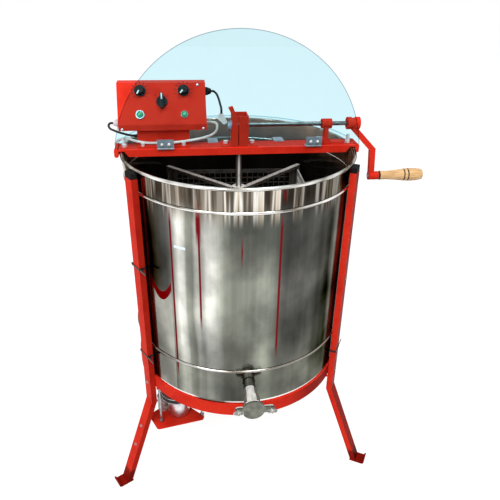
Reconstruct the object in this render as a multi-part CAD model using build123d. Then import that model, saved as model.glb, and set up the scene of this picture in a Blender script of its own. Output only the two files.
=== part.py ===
"""Hand and motor driven honey extractor: drum on three legs, basket, crank, control box and gate.

Millimetres, +Z up. Everything is laid out about the drum's axis with the floor at z = 0 and the
front towards -Y; the finished pieces are then shifted so that the origin is the bottom centre of
the whole machine's box.
"""
from build123d import *
import math
import os

# ---- Clearances -------------------------------------------------------------------------------
SEAT_GAP = 0.2          # between neighbouring pieces that are fixed together
MOVE_GAP = 0.3          # between bodies that move past each other
RUN_FIT = 0.05          # radial, shaft in its bearing
BOLT_FIT = 0.1          # radial, bolt in its hole
PASS = 1.0              # how far a cutting tool runs past the face that it cuts

# ---- Drum -------------------------------------------------------------------------------------
DRUM_RADIUS = 270.0
DRUM_WALL = 1.5
RIM_HEIGHT = 879.0      # centre of the rolled rim
RIM_BEAD = 4.0
RIM_OFFSET = 3.0        # rim centre outside the wall's face
RIB_HEIGHTS = (424.0, 827.0)
RIB_RADIUS = 3.8
RIB_GROOVE = 2.3
RIB_RISE = 3.3          # how far a rib stands out of the wall
FLOOR_EDGE = 335.0
FLOOR_CENTRE = 362.0
FLOOR_SHEET = 2.0
BOSS_RADIUS = 20.0
BOSS_TOP = 375.0

# ---- Base hoop and cross ----------------------------------------------------------------------
HOOP_BOTTOM = 290.0
HOOP_TOP = 325.0
HOOP_THICK = 3.0
CROSS_THICK = 6.0
CROSS_WIDTH = 30.0
CROSS_HUB = 26.0

# ---- Legs -------------------------------------------------------------------------------------
LEG_ANGLES = {"left": -60.0, "right": 60.0, "rear": 180.0}   # from the front, about the drum
LEG_WIDE = 30.0
LEG_DEEP = 15.0
LEG_WALL = 1.5
LEG_TOP = 862.0
LEG_BEND = 242.0
LEG_SPLAY = 21.4        # degrees
PLUG_TALL = 13.0
PLUG_SPIGOT = 10.0
PLUG_ROUND = 2.0
FOOT_THICK = 4.0
FOOT_WIDE = 34.0
FOOT_OUT = 24.0         # beyond the leg's outer face
FOOT_IN = 1.0           # inside the leg's inner face
FOOT_LIP = 14.0         # height of the curled-up outer edge
FOOT_CURL = 4.0
FOOT_ROUND = 5.5
LEG_BOLT_RADIUS = 3.0
LEG_BOLT_HEAD = 5.0
LEG_BOLT_TALL = 3.5
LEG_BOLTS = {"left": (303.0, 165.0, 110.0), "right": (588.0, 344.0, 303.0), "rear": (588.0, 303.0)}
TIE_THICK = 1.2
TIE_TALL = 5.0
TIE_HEAD = 6.0
TIE_TAIL = 22.0
CABLE_TIES = {"left": (647.0, 395.0), "right": (370.0,)}

# ---- Crossbar ---------------------------------------------------------------------------------
BAR_WIDE = 54.0
BAR_SHEET = 3.0
BAR_FLANGE = 13.0
BAR_TAPER = 10.0
HOOK_THICK = 10.0
HOOK_WIDE = 50.0
HOOK_TALL = 20.0
HOOK_RISE = 2.0         # above the bar's top
HOOK_ROUND = 4.0
END_BOLTS = (-266.0, 265.0)
END_BOLT_RADIUS = 4.0
END_BOLT_TALL = 20.0
NUT_RADIUS = 6.5
NUT_TALL = 6.0

# ---- Lids and hinges --------------------------------------------------------------------------
LID_RADIUS = 286.0
LID_SHEET = 3.0
LID_CHORD = 33.0        # from the drum's axis to the straight edge
HINGE_CENTRES = (-171.0, 174.0)
HINGE_LONG = 38.0
LEAF_DEEP = 18.0
FIXED_LEAF_DEEP = 13.0
LEAF_SHEET = 2.0
KNUCKLE = 2.5
HINGE_PIN = 1.2
HINGE_SCREWS = (-10.0, 8.0)
SCREW_RADIUS = 3.2
SCREW_DOME = 1.8
TAB_CENTRES = (-60.0, 100.0, 210.0)
TAB_WIDE = 24.0
TAB_DEEP = 34.0
TAB_ONTO_LID = 16.0

# ---- Crank drive ------------------------------------------------------------------------------
SHAFT_HEIGHT = 933.0
SHAFT_RADIUS = 5.0
SHAFT_START = -14.0
GEAR_PITCH = 18.0       # pitch radius of the gear on the crank shaft
PINION_PITCH = 9.0      # pitch radius of the pinion on the basket shaft
GEAR_FACE = 4.0         # tooth length along the gear's axis
GEAR_HUB = 7.5
GEAR_TEETH = 24
TOOTH_CUT = 1.1
TIP_GAP = 0.4
BRACKET_LONG = 82.0
BRACKET_WIDE = 48.0
BRACKET_FOOT = 4.0
BRACKET_SHEET = 3.0
POST_LEFT = -2.0
POST_RIGHT = 20.0
POST_FRONT = -24.0
POST_BACK = 24.0
POST_TOP = 958.0
CHEEK_RIGHT = -4.0
CHEEK_TOP_LEFT = -17.0
CHEEK_FOOT_LEFT = -23.0
CHEEK_DEEP = 12.0
CHEEK_WALL = 3.5
LEVER_LEAN = 9.5
LEVER_TALL = 22.0
LEVER_THICK = 10.0
BRACKET_BOLTS = 31.0
BRACKET_BOLT_RADIUS = 3.0
SWITCH_LONG = 9.5
SWITCH_RADIUS = 13.0
SWITCH_NOSE = 10.0
SWITCH_HEIGHT = 930.5
PEDESTAL_LEFT = 197.0
PEDESTAL_RIGHT = 221.0
BARREL_RADIUS = 11.5
PEDESTAL_POST = 9.0
PEDESTAL_FOOT = (190.0, 253.0)
PEDESTAL_FOOT_WIDE = 26.0
PEDESTAL_FOOT_TALL = 5.0
PEDESTAL_FILLET = 8.0

# ---- Crank arm and grip -----------------------------------------------------------------------
HUB_LEFT = 259.0
HUB_RIGHT = 289.5
HUB_RADIUS = 14.5
HUB_WAIST = 12.5
ARM_THICK = 13.5
ARM_DEEP = 13.0
ARM_START = 272.0
ARM_BEND_X = 330.0
ARM_BEND_DROP = 0.487   # share of the way down from the shaft to the grip
ARM_FOOT_X = 335.0
GRIP_HEIGHT = 799.0
GRIP_START = 353.0
GRIP_END = 468.0
GRIP_SMALL = 10.5
GRIP_LARGE = 16.0
SPINDLE_RADIUS = 4.0
SPINDLE_HEAD = 6.0
BURN_RINGS = ((0.58, 13.9), (0.67, 14.9))    # share of the length, radius left
GRIP_WAIST = 0.36       # share of the length
GRIP_FULLEST = 0.74     # share of the length
GRIP_TIP = 12.8
BURN_WIDE = 2.0

# ---- Control box ------------------------------------------------------------------------------
BOX_LEFT = -275.0
BOX_WIDE = 200.0
BOX_SHEET = 1.5
PANEL_FOOT_Y = -6.0
PANEL_FOOT_Z = 938.0
PANEL_TOP_Y = 38.0
PANEL_TOP_Z = 1022.0
BOX_LIP = 13.5
BOX_BACK = 72.0
KNOB_SPOTS = {"speed_knob": (52.0, 77.0), "timer_knob": (150.0, 77.0)}   # across, up the panel
KNOB_SKIRT = 13.0
KNOB_CAP = 9.5
KNOB_SKIRT_TALL = 3.0
KNOB_TALL = 14.0
KNOB_FLUTES = 12
KNOB_FLUTE = 1.4
KNOB_SPINDLE = 3.0
SPINDLE_DEEP = 8.0
SELECTOR_SPOT = (100.0, 52.0)
SELECTOR_RADIUS = 12.5
SELECTOR_BAR = 8.0
SELECTOR_LONG = 34.0
SELECTOR_TALL = 14.0
BEZEL_TALL = 3.0
BUTTON_SPOT = (50.0, 23.0)
BUTTON_BEZEL = 10.5
BUTTON_RADIUS = 6.5
BUTTON_TALL = 6.0
BUTTON_TRAVEL = 2.0
LAMP_SPOT = (150.0, 22.5)
LAMP_BEZEL = 8.5
LAMP_RADIUS = 6.0
LAMP_TALL = 5.0
PANEL_SCREWS = ((182.0, 90.0),)
FOLD_SCREWS = (8.0, 192.0)      # across the panel's lower fold
FOLD_SCREW_RISE = 3.0
STAND_LEFT = -235.0
STAND_RIGHT = -115.0
STAND_FRONT = 4.0
STAND_SHEET = 3.0
STAND_FLANGE_FRONT = -12.0
STAND_BACK = 26.0
STAND_BOLTS = (-223.0, -129.5)
STAND_BOLT_Y = -7.0
STAND_BOLT_HEAD = 4.5
GLAND_RADIUS = 9.0
GLAND_TIP = 5.5
GLAND_LONG = 14.0
GLAND_NUT = 9.5
GLAND_NUT_LONG = 5.0
LEFT_GLAND = (30.0, 934.0)       # y, z
RIGHT_GLAND = (52.0, 1000.0)

# ---- Cables -----------------------------------------------------------------------------------
THIN_CABLE = 2.6        # radius
MOTOR_CABLE = 3.0       # radius
MOTOR_CABLE_LOW = 192.0    # where it enters the gear head
CABLE_PLUG = ((-49.5, 948.0), (-44.0, 958.5), (-36.5, 958.5), (-26.7, 938.5), (-35.5, 934.5))  # x, z
CABLE_PLUG_Y = 5.0
CABLE_PLUG_DEEP = 13.0
CABLE_PLUG_ROUND = 1.5
LEAD_X = -40.5          # where the lead enters the plug's top
SUPPLY_ROUTE = ((-297.0, 30.0, 934.0), (-301.0, 28.0, 929.0), (-298.0, 26.0, 922.0), (-281.0, 22.0, 915.0),
                (-251.0, 15.0, 908.0))
LEAD_ROUTE = ((-55.0, 52.0, 1000.0), (-48.5, 42.0, 996.0), (-44.5, 28.0, 987.0), (-42.0, 15.0, 976.0))
LOOP_ROUTE = ((-60.0, 30.0, 933.0), (-49.0, 28.0, 930.0), (-49.5, 23.0, 915.0), (-60.0, 15.0, 907.5),
              (-79.0, 7.0, 903.0), (-104.0, 0.6, 899.5), (-150.0, 0.6, 893.5), (-215.0, 0.6, 893.5),
              (-240.0, 0.6, 899.0), (-254.0, 8.0, 902.5), (-267.0, 19.0, 901.0), (-281.0, 28.0, 895.0),
              (-290.5, 32.0, 887.0), (-289.0, 35.0, 878.0))    # pale cable, from the box to below the rim
LOOP_START = (30.0, 933.0)         # y, z where the pale cable leaves the box
TUCK_ANGLES = (-98.0, -90.0, -82.0, -74.0)    # about the drum, where the cable runs under the rim

# ---- Basket -----------------------------------------------------------------------------------
BASKET_SHAFT = 7.0
SHAFT_TOP = 926.0
SHAFT_BOTTOM = 224.0
COLLAR_RADIUS = 12.0
COLLAR_TALL = 10.0
BASKET_TURN = 43.0      # degrees, first arm from +X
BASKET_HALF = 178.0     # half the side of the square cage
SPIDER_TOP = 770.0
SPIDER_BOTTOM = 405.0
ARM_WIDE = 12.0
ARM_SHEET = 8.0
HUB_OUT = 16.0
HUB_TALL = 24.0
POST_WIDE = 10.0
MESH_WIRE = 2.0
MESH_PITCH = 15.0
MESH_FRAME = 6.0
MESH_SHEET = 3.0

# ---- Motor drive ------------------------------------------------------------------------------
PULLEY_LOW = 230.0
PULLEY_TALL = 16.0
PULLEY_FLANGE = 2.5
DRIVEN_RADIUS = 52.0
MOTOR_PULLEY_RADIUS = 46.0
MOTOR_X = -175.0
MOTOR_Y = -113.0
BELT_THICK = 3.0
BELT_TALL = 10.0
MOTOR_SHAFT = 5.0
CAN_RADIUS = 30.0
PLATE_TOP = 164.0
PLATE_THICK = 4.0
PLATE_CORNERS = ((-98.0, -150.0), (-232.0, -174.0), (-258.0, -120.0), (-182.0, -66.0))
PLATE_ROUND = 9.0
ROD_PLACES = ((-222.0, -147.0), (-112.0, -137.0))
ROD_RADIUS = 3.0
HANGER_Y = (-155.0, -129.0)
HANGER_LONG = 456.0
HANGER_THICK = 5.0
HEAD_X = -218.0
HEAD_Y = -98.0
HEAD_RADIUS = 15.0
HEAD_TALL = 46.0
HEAD_GROOVES = 4
HEAD_GROOVE = 1.5

# ---- Honey gate -------------------------------------------------------------------------------
GATE_X = 1.5
GATE_HEIGHT = 365.0
GATE_BORE = 14.0
GATE_PIPE = 16.0
GATE_SLEEVE = 19.0
GATE_START = -266.0
GATE_SLEEVE_START = -298.0
GATE_FACE = -331.0
GATE_FLANGE = 26.0
GATE_FLANGE_THICK = 3.0
FLAP_THICK = 4.0
GATE_EAR = 8.0
LEFT_STUD = -35.0       # from the pipe's axis
RIGHT_STUD = 42.0
STUD_RADIUS = 2.5
STUD_SLOT = 3.1
STUD_TALL = 11.0
WING_SPAN = 24.0
WING_HUB = 5.5
WING_HUB_TALL = 5.0
WING_TALL = 11.0
WING_THICK = 2.5

# ---- Worked out from the above ----------------------------------------------------------------
HOOP_INNER = DRUM_RADIUS + MOVE_GAP
HOOP_OUTER = HOOP_INNER + HOOP_THICK
LEG_INNER = DRUM_RADIUS + RIB_RISE + MOVE_GAP
LEG_OUTER = LEG_INNER + LEG_DEEP
CROSS_TOP = HOOP_BOTTOM + CROSS_THICK
RIM_TOP = RIM_HEIGHT + RIM_BEAD
RIM_OUTER = DRUM_RADIUS + RIM_OFFSET + RIM_BEAD
BAR_BOTTOM = RIM_TOP + SEAT_GAP
BAR_TOP = BAR_BOTTOM + BAR_SHEET
BAR_HALF = RIM_OUTER + PASS
LID_LOW = RIM_TOP + MOVE_GAP
LID_HIGH = LID_LOW + LID_SHEET
HINGE_Y = -BAR_WIDE / 2 - KNUCKLE
HINGE_Z = BAR_TOP + LEAF_SHEET
CAGE_CORNER = BASKET_HALF * math.sqrt(2)
PULLEY_HIGH = PULLEY_LOW + PULLEY_TALL
BELT_LOW = PULLEY_LOW + (PULLEY_TALL - BELT_TALL) / 2
PANEL_SLOPE = math.hypot(PANEL_TOP_Y - PANEL_FOOT_Y, PANEL_TOP_Z - PANEL_FOOT_Z)
PANEL_NORMAL = (0, -(PANEL_TOP_Z - PANEL_FOOT_Z) / PANEL_SLOPE, (PANEL_TOP_Y - PANEL_FOOT_Y) / PANEL_SLOPE)
PANEL = Plane(origin=(BOX_LEFT, PANEL_FOOT_Y, PANEL_FOOT_Z), x_dir=(1, 0, 0), z_dir=PANEL_NORMAL)


# ---- Building blocks --------------------------------------------------------------------------
def block(x_span, y_span, z_span):
    """Return a box between two x, two y and two z values."""
    low = [min(span) for span in (x_span, y_span, z_span)]
    high = [max(span) for span in (x_span, y_span, z_span)]
    size = [b - a for a, b in zip(low, high)]
    centre = [(a + b) / 2 for a, b in zip(low, high)]
    return Pos(*centre) * Box(*size)


def rod_x(radius, x_start, x_end, y, z):
    """Return a cylinder along X."""
    return Pos((x_start + x_end) / 2, y, z) * Rot(0, 90, 0) * Cylinder(radius, abs(x_end - x_start))


def rod_y(radius, y_start, y_end, x, z):
    """Return a cylinder along Y."""
    return Pos(x, (y_start + y_end) / 2, z) * Rot(90, 0, 0) * Cylinder(radius, abs(y_end - y_start))


def rod_z(radius, z_start, z_end, x=0, y=0):
    """Return a cylinder along Z."""
    return Pos(x, y, (z_start + z_end) / 2) * Cylinder(radius, abs(z_end - z_start))


def ring_z(outer, inner, z_start, z_end, x=0, y=0):
    """Return a tube along Z."""
    return rod_z(outer, z_start, z_end, x, y) - rod_z(inner, z_start - PASS, z_end + PASS, x, y)


def slab_yz(points, x_start, x_end):
    """Return the outline of (y, z) points drawn out along X."""
    face = make_face(Polyline(*points, close=True))
    return Pos(x_start, 0, 0) * extrude(Plane.YZ * face, amount=x_end - x_start)


def slab_xz(points, y_start, y_end):
    """Return the outline of (x, z) points drawn out along Y."""
    face = make_face(Polyline(*points, close=True))
    return Pos(0, y_end, 0) * extrude(Plane.XZ * face, amount=y_end - y_start)


def slab_xy(points, z_start, z_end):
    """Return the outline of (x, y) points drawn out along Z."""
    face = make_face(Polyline(*points, close=True))
    return Pos(0, 0, z_start) * extrude(face, amount=z_end - z_start)


def turned(points):
    """Return the outline of (radius, z) points turned about Z."""
    return revolve(Plane.XZ * make_face(Polyline(*points, close=True)), Axis.Z)


def hexagon_z(radius, z_start, z_end, x=0, y=0):
    """Return a hexagonal prism along Z."""
    return Pos(x, y, z_start) * extrude(RegularPolygon(radius, 6), amount=z_end - z_start)


def dome_z(radius, rise, x=0, y=0, z=0):
    """Return a low round head standing on the plane z."""
    ball = (radius * radius + rise * rise) / (2 * rise)
    cap = Pos(x, y, z + rise - ball) * Sphere(ball)
    return cap & block((x - ball, x + ball), (y - ball, y + ball), (z, z + rise + PASS))


def round_edges(shape, axis, radius):
    """Round the edges of a shape that run along an axis."""
    return fillet(shape.edges().filter_by(axis), radius)


def about_drum(shape, angle):
    """Turn a shape made at the front (towards -Y) to an angle about the drum."""
    return Rot(0, 0, angle) * shape


# ---- Drum -------------------------------------------------------------------------------------
def drum_shell():
    """Wall with a solid rolled rim and two ribs swaged outwards."""
    tall = RIM_HEIGHT - CROSS_TOP
    wall = Pos(DRUM_RADIUS - DRUM_WALL / 2, CROSS_TOP + tall / 2) * Rectangle(DRUM_WALL, tall)
    section = wall + Pos(DRUM_RADIUS + RIM_OFFSET, RIM_HEIGHT) * Circle(RIM_BEAD)
    for height in RIB_HEIGHTS:
        centre = DRUM_RADIUS + RIB_RISE - RIB_RADIUS
        section += Pos(centre, height) * Circle(RIB_RADIUS)
        section -= Pos(centre, height) * Circle(RIB_GROOVE)
        inner = DRUM_RADIUS - DRUM_WALL
        section -= Pos(inner - RIB_RADIUS, height) * Rectangle(2 * RIB_RADIUS, 4 * RIB_RADIUS)
    shell = revolve(Plane.XZ * section, Axis.Z)
    return shell - rod_y(GATE_PIPE + BOLT_FIT, -DRUM_RADIUS - PASS, -DRUM_RADIUS / 2, GATE_X, GATE_HEIGHT)


def drum_floor():
    """Conical floor that rises to the boss of the bottom bearing."""
    edge = DRUM_RADIUS - DRUM_WALL - SEAT_GAP
    bore = BASKET_SHAFT + RUN_FIT
    return turned([
        (bore, CROSS_TOP), (BOSS_RADIUS, CROSS_TOP), (BOSS_RADIUS, FLOOR_CENTRE - FLOOR_SHEET),
        (edge, FLOOR_EDGE - FLOOR_SHEET), (edge, FLOOR_EDGE), (BOSS_RADIUS, FLOOR_CENTRE),
        (BOSS_RADIUS, BOSS_TOP), (bore, BOSS_TOP),
    ])


def base_hoop():
    """Flat bar rolled round the foot of the drum."""
    return ring_z(HOOP_OUTER, HOOP_INNER, HOOP_BOTTOM, HOOP_TOP)


def base_cross():
    """Three bars under the drum, and the hanger bar of the motor below them."""
    cross = rod_z(CROSS_HUB, HOOP_BOTTOM, CROSS_TOP)
    for angle in LEG_ANGLES.values():
        bar = block((-CROSS_WIDTH / 2, CROSS_WIDTH / 2), (-DRUM_RADIUS, 0), (HOOP_BOTTOM, CROSS_TOP))
        cross += about_drum(bar, angle)
    cross = cross & rod_z(HOOP_INNER - SEAT_GAP, HOOP_BOTTOM, CROSS_TOP)
    cross -= rod_z(BASKET_SHAFT + MOVE_GAP, HOOP_BOTTOM - PASS, CROSS_TOP + PASS)
    hanger_low = HOOP_BOTTOM - HANGER_THICK
    hanger = block((-HANGER_LONG / 2, HANGER_LONG / 2), HANGER_Y, (hanger_low, HOOP_BOTTOM))
    for x, y in ROD_PLACES:
        hanger -= rod_z(ROD_RADIUS + BOLT_FIT, hanger_low - PASS, HOOP_BOTTOM + PASS, x, y)
    return Compound(children=[cross, hanger])


# ---- Legs -------------------------------------------------------------------------------------
def leg_outline(inset, past):
    """Return the leg's (y, z) outline at the front, moved inwards by a wall, past both ends."""
    splay = math.radians(LEG_SPLAY)
    inner = LEG_INNER + inset
    outer = LEG_OUTER - inset
    outer_bend = LEG_BEND - inset * math.tan(splay / 2)
    inner_bend = LEG_BEND - (LEG_DEEP - inset) * math.tan(splay / 2)
    foot = FOOT_THICK - past
    top = LEG_TOP + past
    return [
        (-inner, top), (-outer, top), (-outer, outer_bend),
        (-outer - (outer_bend - foot) * math.tan(splay), foot),
        (-inner - (inner_bend - foot) * math.tan(splay), foot), (-inner, inner_bend),
    ]


def on_leg(height):
    """Return the place on the leg's outer face at a height, looking outwards, at the front."""
    if height > LEG_BEND:
        return Pos(0, -LEG_OUTER, height) * Rot(90, 0, 0)
    out = (LEG_BEND - height) * math.tan(math.radians(LEG_SPLAY))
    return Pos(0, -LEG_OUTER - out, height) * Rot(90 - LEG_SPLAY, 0, 0)


def leg(side):
    """Rectangular tube, bent outwards near the foot, with its bolt holes."""
    angle = LEG_ANGLES[side]
    tube = slab_yz(leg_outline(0, 0), -LEG_WIDE / 2, LEG_WIDE / 2)
    hollow = LEG_WIDE / 2 - LEG_WALL
    tube -= slab_yz(leg_outline(LEG_WALL, PASS), -hollow, hollow)
    for height in LEG_BOLTS[side]:
        tube -= on_leg(height) * Cylinder(LEG_BOLT_RADIUS + BOLT_FIT, 2 * LEG_WALL + PASS)
    return about_drum(tube, angle)


def leg_plugs():
    """Black plug in each leg's top, one solid each."""
    half = LEG_WIDE / 2
    spigot_half = half - LEG_WALL - SEAT_GAP
    spigot_inner = LEG_INNER + LEG_WALL + SEAT_GAP
    spigot_outer = LEG_OUTER - LEG_WALL - SEAT_GAP
    cap = block((-half, half), (-LEG_INNER, -LEG_OUTER), (LEG_TOP, LEG_TOP + PLUG_TALL))
    cap = fillet(cap.edges().group_by(Axis.Z)[-1] + cap.edges().filter_by(Axis.Z), PLUG_ROUND)
    spigot = block((-spigot_half, spigot_half), (-spigot_inner, -spigot_outer),
                   (LEG_TOP - PLUG_SPIGOT, LEG_TOP))
    return Compound(children=[about_drum(cap + spigot, angle) for angle in LEG_ANGLES.values()])


def foot(side):
    """Foot plate with its rounded outer edge curled up."""
    outline = leg_outline(0, 0)
    leg_out = -outline[3][0]
    leg_in = -outline[4][0]
    half = FOOT_WIDE / 2
    inner = leg_in - FOOT_IN
    outer = -leg_out - FOOT_OUT
    plate = block((-half, half), (-inner, outer), (0, FOOT_THICK))
    plate += block((-half, half), (outer, outer + FOOT_THICK), (0, FOOT_LIP))
    ends = plate.edges().filter_by(Axis.Y).group_by(Axis.Z)[-1]
    plate = fillet(ends, FOOT_ROUND)
    under = [edge for edge in plate.edges().filter_by(Axis.X)
             if edge.center().Z < SEAT_GAP and edge.center().Y < -leg_out]
    plate = fillet(under, FOOT_CURL + FOOT_THICK)
    inside = [edge for edge in plate.edges().filter_by(Axis.X)
              if abs(edge.center().Z - FOOT_THICK) < PASS and edge.center().Y < -leg_out]
    plate = fillet(inside, FOOT_CURL)
    return about_drum(plate, LEG_ANGLES[side])


def leg_bolts():
    """Round-headed bolts in the legs' outer faces, one solid each."""
    bolts = []
    for side, heights in LEG_BOLTS.items():
        for height in heights:
            bolt = dome_z(LEG_BOLT_HEAD, LEG_BOLT_TALL) + rod_z(LEG_BOLT_RADIUS, -LEG_WALL, 0)
            bolts.append(about_drum(on_leg(height) * bolt, LEG_ANGLES[side]))
    return Compound(children=bolts)


def cable_tie(height, room):
    """One tie round a leg, and round a cable in the room beside it, at the front."""
    half = LEG_WIDE / 2 + SEAT_GAP
    back = LEG_INNER - SEAT_GAP
    front = LEG_OUTER + SEAT_GAP
    span = (height - TIE_TALL / 2, height + TIE_TALL / 2)
    band = block((-half - room - TIE_THICK, half + TIE_THICK), (-back + TIE_THICK, -front - TIE_THICK), span)
    band -= block((-half - room, half), (-back, -front), (span[0] - PASS, span[1] + PASS))
    head_x = (half + TIE_THICK, half + TIE_THICK + TIE_HEAD)
    head = block(head_x, (-front, -front + TIE_HEAD), span)
    tail_x = (head_x[1], head_x[1] + TIE_TAIL)
    tail = block(tail_x, (-front, -front + TIE_THICK), span)
    return band + head + tail


def cable_ties():
    """Ties on the legs, one solid each; those on the left leg hold the motor cable."""
    ties = []
    for side, heights in CABLE_TIES.items():
        room = 2 * MOTOR_CABLE + SEAT_GAP if side == "left" else 0
        for height in heights:
            ties.append(about_drum(cable_tie(height, room), LEG_ANGLES[side]))
    return Compound(children=ties)


# ---- Crossbar ---------------------------------------------------------------------------------
def crossbar():
    """Channel across the rim, with a rounded hook outside the rim at each end."""
    half_wide = BAR_WIDE / 2
    bar = block((-BAR_HALF, BAR_HALF), (-half_wide, half_wide), (BAR_BOTTOM, BAR_TOP))
    flange_top = math.sqrt((DRUM_RADIUS - DRUM_WALL - PASS) ** 2 - half_wide ** 2) - PASS
    flange_low = flange_top - BAR_TAPER
    outline = [(-flange_top, BAR_BOTTOM), (flange_top, BAR_BOTTOM),
               (flange_low, BAR_BOTTOM - BAR_FLANGE), (-flange_low, BAR_BOTTOM - BAR_FLANGE)]
    for start in (-half_wide, half_wide - BAR_SHEET):
        bar += slab_xz(outline, start, start + BAR_SHEET)
    for side in (-1, 1):
        hook_z = (BAR_TOP + HOOK_RISE - HOOK_TALL, BAR_TOP + HOOK_RISE)
        hook = block((0, side * HOOK_THICK), (-HOOK_WIDE / 2, HOOK_WIDE / 2), hook_z)
        hook = round_edges(hook, Axis.Y, HOOK_ROUND)
        bar += Pos(side * BAR_HALF, 0, 0) * hook
    bar -= rod_z(BASKET_SHAFT + MOVE_GAP, BAR_BOTTOM - PASS, BAR_TOP + PASS)
    for x in END_BOLTS:
        bar -= rod_z(END_BOLT_RADIUS + BOLT_FIT, BAR_BOTTOM - PASS, BAR_TOP + PASS, x)
    return bar


def bar_bolts():
    """Studs at the bar's ends, and the bolts of the bracket and the box stand."""
    bolts = []
    for x in END_BOLTS:
        stud = rod_z(END_BOLT_RADIUS, BAR_BOTTOM, BAR_TOP + END_BOLT_TALL, x)
        bolts.append(stud + hexagon_z(NUT_RADIUS, BAR_TOP, BAR_TOP + NUT_TALL, x))
    for x in (-BRACKET_BOLTS, BRACKET_BOLTS):
        bolts.append(hexagon_z(BRACKET_BOLT_RADIUS * 2, BAR_TOP + BRACKET_FOOT,
                               BAR_TOP + BRACKET_FOOT + NUT_TALL, x))
    for x in STAND_BOLTS:
        bolts.append(hexagon_z(STAND_BOLT_HEAD, BAR_TOP + STAND_SHEET,
                               BAR_TOP + STAND_SHEET + NUT_TALL, x, STAND_BOLT_Y))
    return Compound(children=bolts)


# ---- Lids and hinges --------------------------------------------------------------------------
def raised(shape):
    """Swing a piece of the closed front lid up about the hinge line."""
    hinge_line = Axis((0, HINGE_Y, HINGE_Z), (1, 0, 0))
    return shape.rotate(hinge_line, -90)


def lid_sheet():
    """Circular segment of clear sheet, lying on the rim in front of the bar."""
    sheet = rod_z(LID_RADIUS, LID_LOW, LID_HIGH)
    return sheet & block((-LID_RADIUS, LID_RADIUS), (-LID_RADIUS, -LID_CHORD), (LID_LOW, LID_HIGH))


def front_lid():
    """Front lid, standing open."""
    return raised(lid_sheet())


def rear_lid():
    """Rear lid, lying on the rim behind the bar."""
    return about_drum(lid_sheet(), 180)


def knuckle(x_start, x_end):
    """Return a hinge knuckle with the pin's bore."""
    barrel = rod_x(KNUCKLE, x_start, x_end, HINGE_Y, HINGE_Z)
    return barrel - rod_x(HINGE_PIN + RUN_FIT, x_start - PASS, x_end + PASS, HINGE_Y, HINGE_Z)


def leaf(x_centre, y_near, y_far, z_low):
    """Return a hinge leaf with its two screw heads."""
    span = (x_centre - HINGE_LONG / 2, x_centre + HINGE_LONG / 2)
    plate = block(span, (y_near, y_far), (z_low, z_low + LEAF_SHEET))
    for offset in HINGE_SCREWS:
        plate += dome_z(SCREW_RADIUS, SCREW_DOME, x_centre + offset, (y_near + y_far) / 2, z_low + LEAF_SHEET)
    return plate


def hinge_fixed():
    """Leaves and pins on the bar, with the tabs that hold the rear lid."""
    solids = []
    third = HINGE_LONG / 3
    edge = -BAR_WIDE / 2
    for x in HINGE_CENTRES:
        plate = leaf(x, edge, edge + FIXED_LEAF_DEEP, BAR_TOP)
        for start in (x - HINGE_LONG / 2, x + third / 2):
            end = start + third
            neck = block((start, end), (HINGE_Y, edge), (BAR_TOP, BAR_TOP + LEAF_SHEET))
            neck -= rod_x(KNUCKLE, start - PASS, end + PASS, HINGE_Y, HINGE_Z)
            plate += neck + knuckle(start, end)
        solids.append(plate)
        solids.append(rod_x(HINGE_PIN, x - HINGE_LONG / 2, x + HINGE_LONG / 2, HINGE_Y, HINGE_Z))
    tab_low = max(BAR_TOP, LID_HIGH)
    for x in TAB_CENTRES:
        tab_end = LID_CHORD + TAB_ONTO_LID
        tab = block((x - TAB_WIDE / 2, x + TAB_WIDE / 2), (tab_end - TAB_DEEP, tab_end),
                    (tab_low, tab_low + LEAF_SHEET))
        for y in (tab_end - TAB_ONTO_LID / 2, tab_end - TAB_DEEP + TAB_ONTO_LID / 2):
            tab += dome_z(SCREW_RADIUS, SCREW_DOME, x, y, tab_low + LEAF_SHEET)
        solids.append(tab)
    return Compound(children=solids)


def hinge_moving():
    """Leaves on the front lid, with their screws, standing open."""
    solids = []
    third = HINGE_LONG / 3
    for x in HINGE_CENTRES:
        plate = leaf(x, -LID_CHORD - LEAF_DEEP, -LID_CHORD + PASS / 2, LID_HIGH)
        start = x - third / 2 + MOVE_GAP
        end = x + third / 2 - MOVE_GAP
        neck = block((start, end), (-LID_CHORD, HINGE_Y), (LID_HIGH, LID_HIGH + LEAF_SHEET))
        neck -= rod_x(KNUCKLE, start - PASS, end + PASS, HINGE_Y, HINGE_Z)
        solids.append(raised(plate + neck + knuckle(start, end)))
    return Compound(children=solids)


# ---- Crank drive ------------------------------------------------------------------------------
def bevel(large, small, face, hub_radius, hub_end, teeth):
    """Return a bevel gear about Z, large end down, apex above the origin.

    The pitch cone's large end lies `small` below z = 0; the hub runs down to hub_end.
    """
    slope = large / small
    tip = TIP_GAP / 2 * math.hypot(1, slope)
    outer = large - tip
    inner = outer - face * slope
    gear = turned([(0, -small + face), (inner, -small + face), (outer, -small),
                   (outer, -small - face / 3), (hub_radius, -small - face / 2),
                   (hub_radius, hub_end), (0, hub_end)])
    cone = math.degrees(math.atan(slope))
    for index in range(teeth):
        groove = Rot(0, cone, 0) * Box(TOOTH_CUT, TOOTH_CUT, 3 * face * math.hypot(1, slope))
        middle = Pos((outer + inner) / 2, 0, -small + face / 2)
        gear -= Rot(0, 0, 360 / teeth * index) * middle * Rot(0, -2 * cone, 0) * groove
    return gear


def bevel_gear():
    """Gear on the crank shaft, its teeth towards the basket shaft."""
    gear = bevel(GEAR_PITCH, PINION_PITCH, GEAR_FACE, GEAR_HUB, -POST_RIGHT + BRACKET_SHEET + MOVE_GAP,
                 GEAR_TEETH)
    gear = Pos(0, 0, SHAFT_HEIGHT) * Rot(0, -90, 0) * gear
    return gear - rod_x(SHAFT_RADIUS + RUN_FIT, 0, POST_RIGHT, 0, SHAFT_HEIGHT)


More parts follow.
